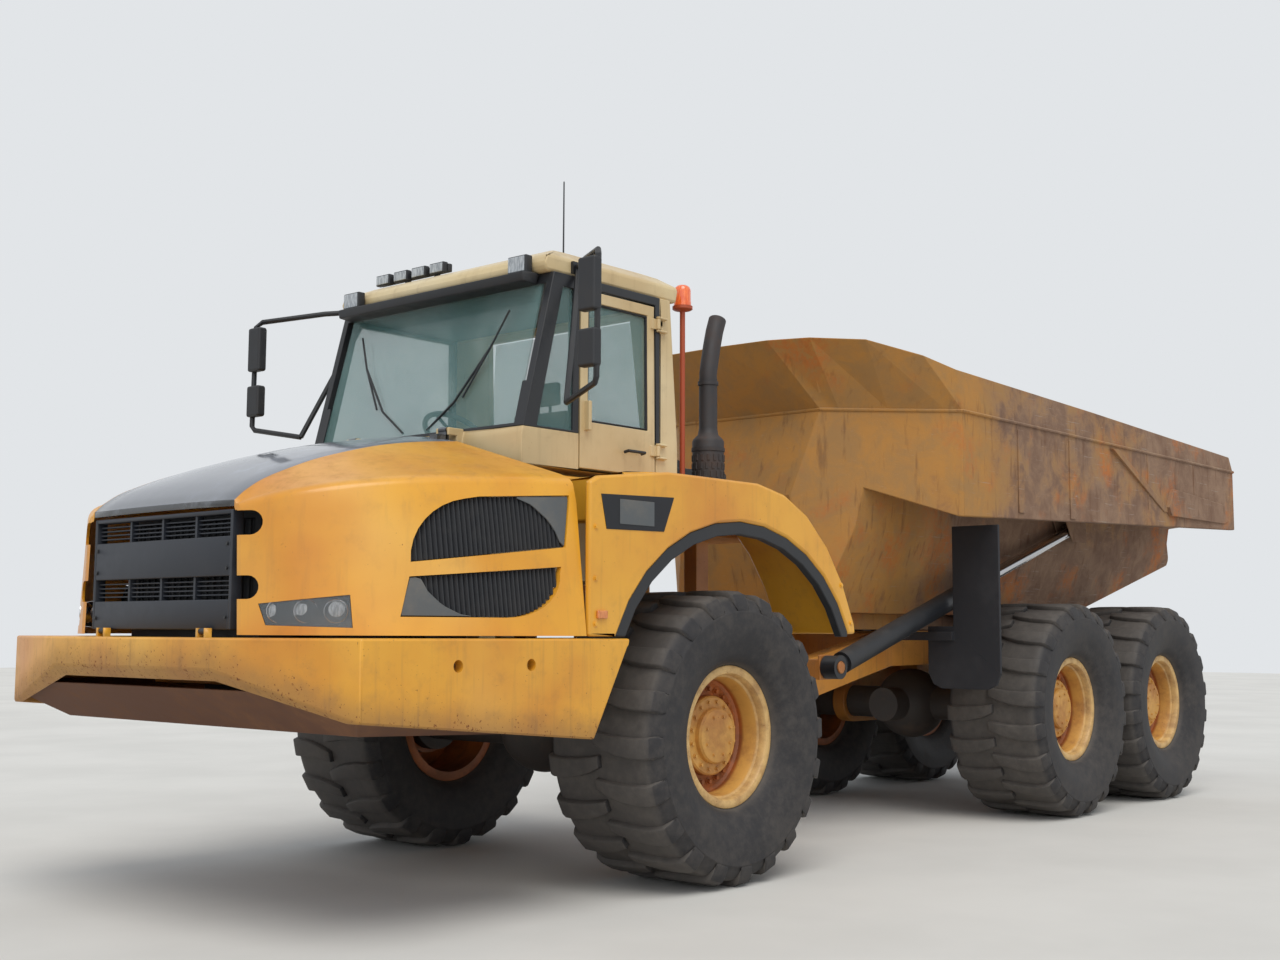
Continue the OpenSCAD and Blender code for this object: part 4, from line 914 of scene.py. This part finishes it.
hood = {
    "foot": 1.322, "thick": 0.030, "stations": 44,
    # x, crown height, black strip's half width and edge height,
    # shoulder's half width and height, foot's half width
    "rows": [(1.200, 2.395, 0.500, 2.335, 1.340, 2.085, 1.440),
             (1.500, 2.352, 0.540, 2.300, 1.285, 2.075, 1.400),
             (1.770, 2.300, 0.570, 2.255, 1.225, 2.060, 1.345),
             (2.000, 2.240, 0.588, 2.200, 1.155, 2.045, 1.275),
             (2.190, 2.178, 0.598, 2.145, 1.080, 2.025, 1.190),
             (2.350, 2.112, 0.604, 2.085, 0.990, 2.000, 1.090),
             (2.480, 2.045, 0.606, 2.028, 0.880, 1.970, 0.965),
             (2.570, 1.980, 0.604, 1.970, 0.750, 1.935, 0.800),
             (2.620, 1.930, 0.600, 1.925, 0.650, 1.905, 0.680)],
    "slots": [(1.480, 1.585), (1.765, 1.875)],
    "lampTurn": 50, "lampPlace": (2.440, 0.930),
    "lampOutline": [(-0.190, 1.355), (0.190, 1.365), (0.225, 1.460), (-0.175, 1.500)],
}
upperVent = [(1.285, 1.745), (1.235, 2.000), (1.740, 1.965)] + [
    (1.760 + 0.330 * math.cos(math.radians(180 - a)),
     1.650 + 0.305 * math.sin(math.radians(a))) for a in range(100, 181, 10)]
lowerVent = [(2.150, 1.405), (2.100, 1.585), (1.320, 1.650)] + [
    (1.650 - 0.320 * math.cos(math.radians(a)), 1.620 - 0.215 * math.sin(math.radians(a))) for a in range(0,
                                                            91, 10)]


def hoodRow(x):
    # The section's sizes at x, on a smooth curve through the rows
    rows = hood["rows"]
    i = max(k for k in range(len(rows) - 1) if rows[k][0] <= x + 1e-9)
    low, high = rows[i], rows[i + 1]
    before, after = rows[max(i - 1, 0)], rows[min(i + 2, len(rows) - 1)]
    gap = high[0] - low[0]
    t = (x - low[0]) / gap
    values = [x]
    for k in range(1, 7):
        startSlope = (high[k] - before[k]) / (high[0] - before[0]) * gap
        endSlope = (after[k] - low[k]) / (after[0] - low[0]) * gap
        values.append((2 * t**3 - 3 * t**2 + 1) * low[k] + (t**3 - 2 * t**2 + t) * startSlope
                      + (3 * t**2 - 2 * t**3) * high[k] + (t**3 - t**2) * endSlope)
    return values


def hoodSide(row, d):
    # The left half of a section, d below the surface, from the foot up to the black strip
    x, crown, strip, edge, shoulder, top, foot = row
    low = (shoulder + 0.004 - d, top - 0.035)
    wide = min(0.09, 0.7 * (shoulder - strip))
    high = (shoulder - wide - 0.2 * d, top + 0.12 * (edge - top) - d)
    bend = (shoulder - 0.001 - 0.8 * d, top + 0.002 - 0.8 * d)
    curve = []
    for t in (0, 0.2, 0.4, 0.6, 0.8, 1):
        curve.append(tuple((1 - t) ** 2 * low[k] + 2 * t * (1 - t) * bend[k] + t * t * high[k] for k in (0,
                                                            1)))
    return [(foot - d, hood["foot"]), (shoulder + 0.25 * (foot - shoulder) - d, top - 0.120)] + curve + [
        (strip + 0.001, edge - d)]


def stripSide(row, d):
    x, crown, strip, edge = row[:4]
    return [(y * strip, crown - (crown - edge) * y**2 - d) for y in (1, 0.75, 0.5, 0.25, 0)]


def skinY(x, z, d=0.0):
    # How far out the hood's side is at x and z
    line = hoodSide(hoodRow(x), d)[:3]
    for (y0, z0), (y1, z1) in zip(line, line[1:]):
        if z <= z1 or (y1, z1) == line[-1]:
            return y0 + (y1 - y0) * (z - z0) / (z1 - z0)


firstX, lastX = hood["rows"][0][0], hood["rows"][-1][0]
stations = [firstX + (lastX - firstX) * math.sin(0.5 * math.pi * i / hood["stations"])
            for i in range(hood["stations"] + 1)]
shell, strip = Form(), Form()
shell.loft([[(frontAxle + x, y, z) for y, z in hoodSide(hoodRow(x), 0) + hoodSide(hoodRow(x),
                                                            hood["thick"])[::-1]]
            for x in stations]).mirrored()
stripRings = []
for x in stations:
    outer, inner = stripSide(hoodRow(x), 0), stripSide(hoodRow(x), hood["thick"])
    over = outer + [(-y, z) for y, z in outer[-2::-1]]
    under = inner + [(-y, z) for y, z in inner[-2::-1]]
    stripRings.append([(frontAxle + x, y, z) for y, z in over + under[::-1]])
strip.loft(stripRings)
cutter = Form()
for vent in (upperVent, lowerVent):
    cutter.prism([(frontAxle + x, z) for x, z in vent], 1, 0.9, 1.6)
for low, high in hood["slots"]:
    mid, tall = (low + high) / 2, (high - low) / 2
    ends = [(0.70 + tall * math.sin(math.radians(a)),
             mid - tall * math.cos(math.radians(a))) for a in range(0, 181, 20)]
    cutter.prism([(0.5, low)] + ends + [(0.5, high)], 0, frontAxle + 2.40, frontAxle + 2.72)
lampWay = Vector((math.sin(math.radians(hood["lampTurn"] + 90)),
                  -math.cos(math.radians(hood["lampTurn"] + 90)), 0))
lampSide = Vector((0, 0, 1)).cross(lampWay)
lampMiddle = Vector((frontAxle + hood["lampPlace"][0], hood["lampPlace"][1], 0))


def lampPrism(inset, low, high):
    middle = Vector((0.0, 1.425))
    ring = []
    for u, z in hood["lampOutline"]:
        u, z = (Vector((u, z)) - middle) * (1 - inset) + middle
        ring.append(lampMiddle - lampSide * u + Vector((0, 0, z)))
    return Form().loft([[point + lampWay * depth for point in ring] for depth in (low, high)])


lampTool = joined(lampPrism(0, -0.26, 0.26).mesh("lamp"))
cutterMesh = joined(cutter.mirrored().mesh("cutter"), lampTool)
mirrorY = Matrix.Scale(-1, 4, (0, 1, 0))
flipped = moved(lampTool, mirrorY)
flipped.flip_normals()
cutterMesh = joined(cutterMesh, flipped)
makePiece("hood_shell_smooth", carved(shell.mesh("shell"), cutterMesh), goldPaint, "hood", ["hood_shell"],
          smooth=28)
hinges = Form()
hinges.block((frontAxle + 1.186, 0.350, 2.320), (frontAxle + 1.260, 0.410, 2.377))
hinges.block((frontAxle + 1.174, 0.350, 2.320), (frontAxle + 1.198, 0.410, 2.405))
hinges.turned([(0.0085, 0), (0.016, 0), (0.016, 0.06), (0.0085, 0.06)], (frontAxle + 1.186, 0.350, 2.405),
              (0, 1, 0), 24)
stripMesh = joined(rounded(strip.mesh("strip"), 0.004, 2, 40), hinges.mirrored().mesh("hinges"))
makePiece("hood_strip", stripMesh, blackStrip, "hood", ["hood_top"], smooth=40)
print("hood made")

# Side intakes: dark slats that follow the hood's skin, a near-black sheet behind them that is painted shade,
# with a grey plate over one corner

vent = {"pitch": 0.024, "bar": 0.010, "inset": 0.003, "recess": 0.016, "deep": 0.042}
greyUpper = [(1.288, 1.750), (1.240, 1.996), (1.560, 1.975), (1.460, 1.940), (1.370, 1.870), (1.320, 1.800),
             (1.305, 1.748)]
greyLower = [(2.146, 1.409), (2.097, 1.581), (2.050, 1.585), (2.020, 1.520), (1.960, 1.460), (1.880, 1.420),
             (1.800, 1.409)]


def heightsAt(outline, x):
    # Where an upright line at x enters and leaves an outline
    found = []
    for (x0, z0), (x1, z1) in zip(outline, outline[1:] + outline[:1]):
        if min(x0, x1) <= x < max(x0, x1):
            found.append(z0 + (z1 - z0) * (x - x0) / (x1 - x0))
    return (min(found), max(found)) if len(found) > 1 else None


def skinPlate(form, outline, outer, inner, first, last, count, inset=0.003):
    # A plate below the hood's skin, as a row of upright sections
    rings = []
    for i in range(count + 1):
        x = first + (last - first) * i / count
        span = heightsAt(outline, x)
        if span and span[1] - span[0] > 2.5 * inset:
            low, high = span[0] + inset, span[1] - inset
            levels = [low, 0.5 * (low + high), high]
            rings.append([(frontAxle + x, skinY(x, z) - outer, z) for z in levels]
                         + [(frontAxle + x, skinY(x, z) - inner, z) for z in reversed(levels)])
    form.loft(rings)


slats, shadeSheets, greys = Form(), Form(), Form()
for outline in (upperVent, lowerVent):
    first, last = min(x for x, z in outline) + 0.004, max(x for x, z in outline) - 0.004
    # A near-black sheet behind the slats: painted shade of the hood's inside
    skinPlate(shadeSheets, outline, 0.052, 0.058, first, last, 24)
    x = first + vent["pitch"]
    while x < last:
        span = heightsAt(outline, x)
        low, high = span[0] + vent["inset"], span[1] - vent["inset"]
        rings = []
        for z in (low, 0.5 * (low + high), high):
            y = skinY(x, z)
            rings.append([(frontAxle + x + a, y - b, z) for a, b in (
                (-vent["bar"] * 0.5, vent["recess"]), (vent["bar"] * 0.2, vent["recess"]),
                (vent["bar"] * 1.2, vent["deep"]), (vent["bar"] * 0.5, vent["deep"]))])
        if high - low > 0.02:
            slats.loft(rings)
        x += vent["pitch"]
skinPlate(greys, greyUpper, 0.006, 0.014, 1.244, 1.556, 14, 0.001)
skinPlate(greys, greyLower, 0.006, 0.014, 1.804, 2.142, 14, 0.001)
makePiece("vent_slats", slats.mirrored(), darkPlastic, "hood", ["side_vents"])
makePiece("vent_shade_sheets", shadeSheets.mirrored(), ventDark, "hood")
makePiece("vent_corners", greys.mirrored(), greyPlastic, "hood", bevel=0.002)

# Headlights: a dark tray, three round lamps and a clear lens

lamp = {"centres": [-0.115, 0.015, 0.135], "high": 1.428, "radius": 0.050}
tray, bowls, glow = Form(), Form(), Form()
patch = Form()
rows = [2.20 + 0.40 * i / 16 for i in range(17)]


def lampPatch(outer, inner):
    form = Form()
    form.loft([[(frontAxle + x, y, z) for y, z in hoodSide(hoodRow(x), outer)[:3] + hoodSide(hoodRow(x),
                                                            inner)[:3][::-1]]
               for x in rows])
    return carved(form.mesh("patch"), lampPrism(0.012, -0.2, 0.2).mesh("prism"), "INTERSECT")


def bothSides(mesh):
    other = moved(mesh, mirrorY)
    other.flip_normals()
    return joined(mesh, other)


for along in lamp["centres"]:
    line = lampMiddle - lampSide * along
    # Step outwards until the hood's skin is reached
    out = max((k * 0.002 for k in range(-80, 81) if (line + lampWay * k * 0.002).y
               <= skinY(min(max((line + lampWay * k * 0.002).x - frontAxle, firstX), lastX), lamp["high"])),
               default=0)
    centre = line + lampWay * (out - 0.030) + Vector((0, 0, lamp["high"]))
    r = lamp["radius"]
    bowls.turned([(0, -0.03), (r * 0.6, -0.022), (r * 0.92, 0.006), (r, 0.014), (r * 1.06, 0.012),
                  (r * 1.0, -0.012),
                  (r * 0.6, -0.036), (0, -0.042)], centre, lampWay, 28)
    glow.turned([(0, 0.010), (r * 0.5, 0.008), (r * 0.9, 0.0), (r * 0.9, -0.004), (0, -0.006)], centre,
                lampWay, 24)
makePiece("headlight_tray", bothSides(lampPatch(0.034, 0.040)), ventDark, "hood", ["headlights"])
makePiece("headlight_bowls", bowls.mirrored(), chrome, "hood")
makePiece("headlight_lenses", glow.mirrored(), lampGlass, "hood")
makePiece("headlight_cover", bothSides(lampPatch(0.004, 0.007)), lampCover, "hood")
print("intakes and headlights made")

# Grille: a frame with two slots, thin bars and posts across them, and hinges at its foot

grille = {"back": 2.560, "face": 2.618, "half": 0.590, "bands": [(1.345, 1.480), (1.585, 1.765),
                                                            (1.865, 1.885)],
          "bars": 4, "barHigh": 0.007, "posts": [-0.28, 0.0, 0.28]}
frameParts, stepHinges, bars = Form(), Form(), []
hingeX, hingeY, hingeZ, hingeHalf = frontAxle + 2.645, 0.430, 1.338, 0.024
backX, faceX = frontAxle + grille["back"], frontAxle + grille["face"]
for low, high in grille["bands"]:
    frameParts.block((backX, -grille["half"] + 0.02, low), (faceX, grille["half"] - 0.02, high))
for side in (-1, 1):
    edges = sorted((side * grille["half"], side * (grille["half"] - 0.0199)))
    frameParts.block((backX, edges[0], 1.345), (faceX, edges[1], 1.885))
    start = side * hingeY - hingeHalf
    stepHinges.block((faceX - 0.018, start, 1.345), (hingeX, start + 2 * hingeHalf, 1.352))
    stepHinges.turned([(0.0078, 0), (0.014, 0), (0.014, 2 * hingeHalf), (0.0078, 2 * hingeHalf)],
                      (hingeX, start, hingeZ), (0, 1, 0), 24)
for low, high in hood["slots"]:
    step = (min(high, 1.865) - low) / (grille["bars"] + 1)
    bar = Form().block((backX + 0.014, -grille["half"] + 0.021, low + step - grille["barHigh"] / 2),
                       (backX + 0.036, grille["half"] - 0.021, low + step + grille["barHigh"] / 2))
    bars.append(grown(rounded(bar.mesh("bar"), 0.002, 1), rowOfCopies, darkPlastic, Count=grille["bars"],
                      Step=(0.0, 0.0, step)))
posts = Form()
for y in grille["posts"]:
    for low, high in hood["slots"]:
        posts.block((backX + 0.010, y - 0.008, low - 0.002), (backX + 0.044, y + 0.008,
                                                            min(high, 1.865) + 0.002))
grilleMeshes = [rounded(frameParts.mesh("frame"), 0.005), stepHinges.mesh("hinges"), posts.mesh("posts")]
makePiece("grille_frame", joined(*grilleMeshes, *bars), grilleBlack, "grille_step", ["grille"])
addBolts("grille_screws", "grille_step", both([((faceX, 0.555, z), (1, 0, 0)) for z in (1.40, 1.62, 1.73)]),
         0.008, 0.006, blackPaint)
print("grille made")

# Bare plate on a thin near-black sheet that is painted shade of its recess behind the hood, marker lamp and
# bolts on the fenders

# The recess is a thin near-black sheet, painted shade rather than a hollow
recess = Form()
recess.prism([(frontAxle + x, z) for x, z in [(1.115, 2.012), (0.560, 2.030), (0.640, 1.850),
                                              (1.075, 1.842)]],
             1, 1.4485, 1.4535)
plate = Form().block((frontAxle + 0.72, 1.452, 1.872), (frontAxle + 0.98, 1.456, 1.995))
marker = Form().block((frontAxle + 1.075, 1.449, 1.405), (frontAxle + 1.145, 1.466, 1.445))
makePiece("side_recess_shade", recess.mirrored(), ventDark, "front_unit", bevel=0.002)
makePiece("side_plate", plate.mirrored(), greyPlastic, "front_unit", bevel=0.0015)
makePiece("side_marker", marker.mirrored(), markerLens, "front_unit", bevel=0.005)
bodyBolts = [((frontAxle + x, 1.45, z), (0, 1, 0)) for x, z in [
    (1.15, 1.38), (1.15, 1.60), (1.15, 1.85), (-1.08, 1.40), (-0.98, 1.62)]]
bodyBolts += [((frontAxle + x, bumperY, 1.27), (0, 1, 0)) for x,
              bumperY in ((1.30, 1.425), (1.80, 1.425), (2.30, 1.425))]
addBolts("body_bolts", "front_unit", both(bodyBolts), 0.011, 0.008, goldPaint)

# Mirrors

mirror = {"arm": 0.016, "path": [(0.690, 0.884, 3.300), (0.86, 1.10, 3.285), (1.10, 1.405, 3.235),
                                 (1.126, 1.432, 3.205),
                                 (1.136, 1.432, 2.585), (1.128, 1.415, 2.560), (1.010, 1.110, 2.505)],
          "brace": [(1.010, 1.110, 2.505), (0.85, 1.0, 2.90), (0.690, 0.884, 3.300)],
          "heads": [(2.640, 2.830), (2.920, 3.190)]}
arms, heads, faces = Form(), Form(), Form()
for path in (mirror["path"], mirror["brace"]):
    arms.tube([(frontAxle + x, y, z) for x, y, z in path], mirror["arm"], 10)
arms.block((frontAxle + 0.655, 0.862, 3.265), (frontAxle + 0.725, 0.880, 3.330))
for low, high in mirror["heads"]:
    x = frontAxle + mirror["path"][3][0]
    heads.block((x - 0.012, 1.332, low), (x + 0.048, 1.450, high))
    faces.block((x - 0.0145, 1.343, low + 0.012), (x - 0.0118, 1.439, high - 0.012))
makePiece("mirror_arms", arms.mirrored(), blackPaint, "front_unit", ["mirrors"])
makePiece("mirror_heads", heads.mirrored(), darkPlastic, "front_unit", bevel=0.014, segments=4)
makePiece("mirror_faces", faces.mirrored(), chrome, "front_unit")

# Exhaust stack, beacon, roof lamps

stackFoot = Vector((frontAxle - 0.500, 0.835, 1.950))
stack = Form()
stack.turned([(0.040, 0), (0.055, 0), (0.055, 0.15), (0.088, 0.185), (0.095, 0.20), (0.095, 0.52),
              (0.088, 0.535),
              (0.062, 0.56), (0.055, 0.60), (0.055, 0.90), (0.040, 0.90)], stackFoot, (0, 0, 1), 32)
stack.tube([stackFoot + Vector(p) for p in [(0, 0, 0.88), (0, 0, 0.93), (-0.012, -0.002, 0.98),
                                            (-0.045, -0.008, 1.10),
                                            (-0.078, -0.013, 1.20), (-0.115, -0.019, 1.278)]], 0.0535, 24)
for z in (0.24, 0.46, 0.86):
    stack.turned([(0.05, z), (0.100 if z < 0.8 else 0.062, z), (0.100 if z < 0.8 else 0.062, z + 0.022),
                  (0.05, z + 0.022)], stackFoot, (0, 0, 1), 32)
slot = rounded(Form().block((0.094, -0.009, 0.25), (0.0985, 0.009, 0.29)).mesh("slot"), 0.002, 1)
guardRows = [moved(grown(slot, turnedCopies, exhaustSteel, Count=16, Axis=(0.0, 0.0, 1.0), Phase=0.1 * i),
                   Matrix.Translation(stackFoot + Vector((0, 0, 0.05 * i)))) for i in range(4)]
makePiece("stack_pipe", joined(stack.mesh("stack"), *guardRows), exhaustSteel, "front_unit",
          ["exhaust_stack"])

post = (frontAxle - 0.300, 0.800, 1.950)
pole, lens = Form(), Form()
pole.turned([(0, 0), (0.030, 0), (0.030, 0.012), (0.016, 0.016), (0.016, 1.280), (0.050, 1.288),
             (0.060, 1.294),
             (0.060, 1.312), (0, 1.312)], post, (0, 0, 1), 28)
lens.turned([(0, 1.312), (0.052, 1.312), (0.052, 1.33), (0.050, 1.345), (0.050, 1.405), (0.044, 1.425),
             (0.03, 1.437),
             (0, 1.440)], post, (0, 0, 1), 32)
makePiece("beacon_pole", pole, postPaint, "front_unit", ["beacon"])
makePiece("beacon_lens", lens, beaconLens, "front_unit", smooth=50)

roofZ, roofTop = 3.250, 3.428
roofGear, roofLenses = Form(), Form()
roofGear.block((frontAxle + 0.660, -0.79, roofTop + 0.012), (frontAxle + 0.690, -0.16, roofTop + 0.062))
for y in (-0.52, -0.26):
    roofGear.block((frontAxle + 0.675, y - 0.015, roofTop - 0.020),
                   (frontAxle + 0.705, y + 0.015, roofTop + 0.030))
for i in range(4):
    y = -0.72 + 0.163 * i
    roofGear.block((frontAxle + 0.686, y - 0.062, roofTop + 0.005),
                   (frontAxle + 0.724, y + 0.062, roofTop + 0.070))
    roofLenses.block((frontAxle + 0.722, y - 0.054, roofTop + 0.012),
                     (frontAxle + 0.729, y + 0.054, roofTop + 0.063))
for y in (-0.70, 0.70):
    roofGear.block((frontAxle + 0.925, y - 0.070, roofZ - 0.015),
                   (frontAxle + 0.975, y + 0.070, roofZ + 0.090))
    roofLenses.block((frontAxle + 0.974, y - 0.060, roofZ + 0.000),
                     (frontAxle + 0.983, y + 0.060, roofZ + 0.082))
visor = Form().prism([(frontAxle + x, z) for x, z in [(0.882, 3.2495), (0.902, 3.182), (1.000, 3.190),
                                                      (1.010, 3.240),
                                                      (0.930, 3.2495)]], 1, -0.78, 0.78)
roofGear.turned([(0, 0), (0.016, 0), (0.012, 0.05), (0.005, 0.06), (0.004, 0.48), (0, 0.48)],
                (frontAxle + 0.450, 0.540, roofTop - 0.008), (0, 0, 1), 14)
makePiece("roof_gear", joined(rounded(roofGear.mesh("gear"), 0.006), rounded(visor.mesh("visor"), 0.008)),
          darkPlastic,
          "front_unit", ["roof_lights"])
makePiece("roof_lenses", roofLenses, lampGlass, "front_unit", bevel=0.003)
print("mirrors, stack, beacon and roof lamps made")

# Inside the cab: dash, steering wheel and the seat

floorZ = 1.680
dash = Form().prism([(frontAxle + x, z) for x, z in [(0.832, 1.681), (1.053, 1.681), (1.053, 2.318),
                                                     (0.935, 2.345),
                                                     (0.856, 2.228)]], 1, -0.428, 0.428)
wheelTurn = Matrix.Translation((frontAxle + 0.745, 0, floorZ + 0.760)) @ Matrix.Rotation(math.radians(-35), 4,
                                                            "Y")
ringPath = [(0.205 * math.cos(2 * math.pi * i / 40), 0.205 * math.sin(2 * math.pi * i / 40),
             0) for i in range(40)]
steering = Form().tube(ringPath, 0.0155, 10, loop=True)
for i in range(3):
    t = 2 * math.pi * i / 3
    steering.tube([(0.03 * math.cos(t), 0.03 * math.sin(t), -0.006),
                   (0.12 * math.cos(t), 0.12 * math.sin(t), -0.004),
                   (0.198 * math.cos(t), 0.198 * math.sin(t), 0)], 0.010, 8)
steering.turned([(0, -0.012), (0.045, -0.012), (0.050, -0.004), (0.046, 0.010), (0, 0.012)], (0, 0, 0),
                (0, 0, 1), 28)
column = Form().tube([(frontAxle + 0.878, 0, floorZ + 0.425), (frontAxle + 0.80, 0, floorZ + 0.62),
                      (frontAxle + 0.744, 0, floorZ + 0.752)], 0.025, 14)
makePiece("dash_panel", joined(rounded(dash.mesh("dash"), 0.02, 3), moved(steering.mesh("wheel"), wheelTurn),
                               column.mesh("column")), darkPlastic, "front_unit", ["dash"])


def swollen(form, name, cap, frames=20):
    # Cloth blown up a little under pressure, held within cap metres of where it started
    base = trial(form.mesh(name))
    remesh = base.modifiers.new("voxels", "REMESH")
    remesh.mode = "VOXEL"
    remesh.voxel_size = 0.014
    base = trial(taken(base))
    cloth = base.modifiers.new("cloth", "CLOTH")
    cloth.settings.use_pressure = True
    cloth.settings.uniform_pressure_force = 4
    cloth.settings.effector_weights.gravity = 0
    cloth.settings.quality = 5
    start = [vert.co.copy() for vert in base.data.vertices]
    for frame_ in range(1, frames + 1):
        bpy.context.scene.frame_set(frame_)
    mesh = taken(base)
    for vert, before in zip(mesh.vertices, start):
        shift = vert.co - before
        if shift.length > cap:
            vert.co = before + shift.normalized() * cap
    bpy.context.scene.frame_set(1)
    smoother = trial(mesh)
    fine = smoother.modifiers.new("fine", "SUBSURF")
    fine.levels = fine.render_levels = 1
    return taken(smoother)


seatX = frontAxle
cushion = Form().prism([(seatX + x, z) for x, z in [(0.145, floorZ + 0.200), (0.635, floorZ + 0.200),
                                                    (0.648, floorZ + 0.285),
                                                    (0.165, floorZ + 0.310)]], 1, -0.24, 0.24)
backrest = Form().prism([(seatX + x, z) for x, z in [(0.075, floorZ + 0.330), (0.158, floorZ + 0.345),
                                                     (0.085, floorZ + 0.985), (0.012, floorZ + 0.985)]], 1,
                                                     -0.225, 0.225)
headrest = Form().prism([(seatX + x, z) for x, z in [(0.012, floorZ + 1.02), (0.075, floorZ + 1.02),
                                                     (0.066, floorZ + 1.16), (0.016, floorZ + 1.16)]], 1,
                                                     -0.12, 0.12)
for name, form, cap, owner in (("seat_cushion", cushion, 0.012, ["seat"]), ("seat_back", backrest, 0.012, []),
                               ("seat_headrest", headrest, 0.008, [])):
    pad = makePiece(name, swollen(form, name, cap), seatCloth, "front_unit", owner, smooth=80)
seatBase = Form().block((seatX + 0.18, -0.20, floorZ + 0.002), (seatX + 0.55, 0.20, floorZ + 0.192))
for y in (-0.05, 0.05):
    seatBase.tube([(seatX + 0.045, y, floorZ + 0.96), (seatX + 0.042, y, floorZ + 1.05)], 0.008, 10)
makePiece("seat_base", seatBase, darkPlastic, "front_unit", bevel=0.008)
print("dash and seat made")

# Cab trim: door seal, wipers and door handle

trim, wiper = Form(), Form()
# The door's seal runs round its pane
paneRear, paneFront, paneLean = 0.108, 0.600, 0.006
paneLow, paneHigh = 2.478, 3.122
sealPath = [(paneRear, paneLow), (paneRear + paneLean, paneHigh), (paneFront - paneLean, paneHigh),
            (paneFront, paneLow)]
trim.tube([(frontAxle + x, 0.868, z) for x, z in sealPath], 0.009, 8, loop=True)
for side in (-1, 1):
    wiper.tube([(frontAxle + 1.062, side * 0.10, 2.44), (frontAxle + 1.045, side * 0.30, 2.58),
                (frontAxle + 0.99, side * 0.52, 2.86)], 0.007, 8)
    wiper.tube([(frontAxle + 1.040, side * 0.36, 2.60), (frontAxle + 0.99, side * 0.52, 2.86),
                (frontAxle + 0.945, side * 0.62, 3.06)], 0.006, 8)
makePiece("door_seal", trim, rubberSkin, "door")
makePiece("wipers", wiper, blackPaint, "front_unit")
handle = Form().tube([(frontAxle + 0.18, 0.898, 2.33), (frontAxle + 0.18, 0.925, 2.335),
                      (frontAxle + 0.32, 0.925, 2.335),
                      (frontAxle + 0.32, 0.898, 2.33)], 0.009, 10)
makePiece("door_handle", handle, blackPaint, "door")

# Bed: the rail's weld bead, upright seams, slanted gusset and raised box

bedSide = {"front": -2.635, "frontY": 1.353, "end": -7.5328, "endY": 1.450}


def sideY(x):
    share = (bedSide["front"] - x) / (bedSide["front"] - bedSide["end"])
    return bedSide["frontY"] + (bedSide["endY"] - bedSide["frontY"]) * share


beads = Form()
railFront = {"x": -1.990, "z": 2.856, "drop": 0.040, "rear": -7.4528}


def railZ(x):
    return railFront["z"] - railFront["drop"] * (railFront["x"] - x) / (railFront["x"] - railFront["rear"])


rail = [(-1.990, 0.0), (-1.990, 0.626), (-2.300, 0.970), (-2.635, 1.353), (-4.60, sideY(-4.60)),
        (-7.45, sideY(-7.45))]
beads.tube([(frontAxle + x, y + (0.002 if y else 0), railZ(x)) for x, y in rail], 0.013, 8)
for x in (-3.40, -4.20, -5.60, -6.55):
    beads.tube([(frontAxle + x, sideY(x) + 0.001, 2.36), (frontAxle + x, sideY(x) + 0.001, 2.84)], 0.005, 6)
gusset = Form()
gusset.prism([(frontAxle + x, z) for x, z in [(-4.90, 2.80), (-5.02, 2.80), (-6.06, 2.36), (-5.90, 2.36)]], 1,
             sideY(-5.4) - 0.012, sideY(-5.4) + 0.020)
box = [(-5.95, 2.40), (-6.05, 2.56), (-7.20, 2.50), (-7.30, 2.36), (-7.20, 2.33), (-6.0, 2.33)]
gusset.prism([(frontAxle + x, z) for x, z in box], 1, sideY(-6.6) - 0.020, sideY(-6.6) + 0.022)
makePiece("bed_beads", beads.mirrored(), bedSteel, "bed")
makePiece("bed_gussets", gusset.mirrored(), bedSteel, "bed", bevel=0.004)
print("cab trim and bed details made")

roundedNodes = {
    "fender_left": 0.014, "fender_right": 0.014, "fender_trim": 0.006, "cab_frame": 0.006,
    "window_frames": 0.005, "roof": 0.014, "door_left": 0.004, "front_frame": 0.005, "rear_frame": 0.006,
    "rear_deck": 0.005, "hydraulic_tank": 0.018, "bogie_beams": 0.006, "bed_shell": 0.008, "bed_guard": 0.006,
    "bed_ribs": 0.005, "mud_flaps": 0.004, "engine": 0.012, "radiator": 0.004, "belly_pan": 0.006,
    "tail_lights": 0.004,
}
for name, width in roundedNodes.items():
    roundedNode(name, width)
roundedNode("bumper", 0.010, shortest=0.05)
print("edges rounded on", len(roundedNodes) + 1, "nodes")

# The floor

half = view["floorSize"] / 2
floorMesh = bpy.data.meshes.new("yardFloor")
floorMesh.from_pydata([(-half, -half, 0), (half, -half, 0), (half, half, 0), (-half, half, 0)], [],
                      [(0, 1, 2, 3)])
floorFinish = Finish("floorPale", "none", Roughness=0.85, Specular_IOR_Level=0.2)
floorTone = floorFinish.grain(0.6, 4)
floorFinish.into("Base Color", floorFinish.mix(floorTone.rise(0.3, 0.7), screenColour(view["floorColour"]),
                                               screenColour((206, 204, 199))))
floor = bpy.data.objects.new("yardFloor", floorMesh)
floorMesh.materials.append(floorFinish.material)
bpy.context.scene.collection.objects.link(floor)

print("scene finished")
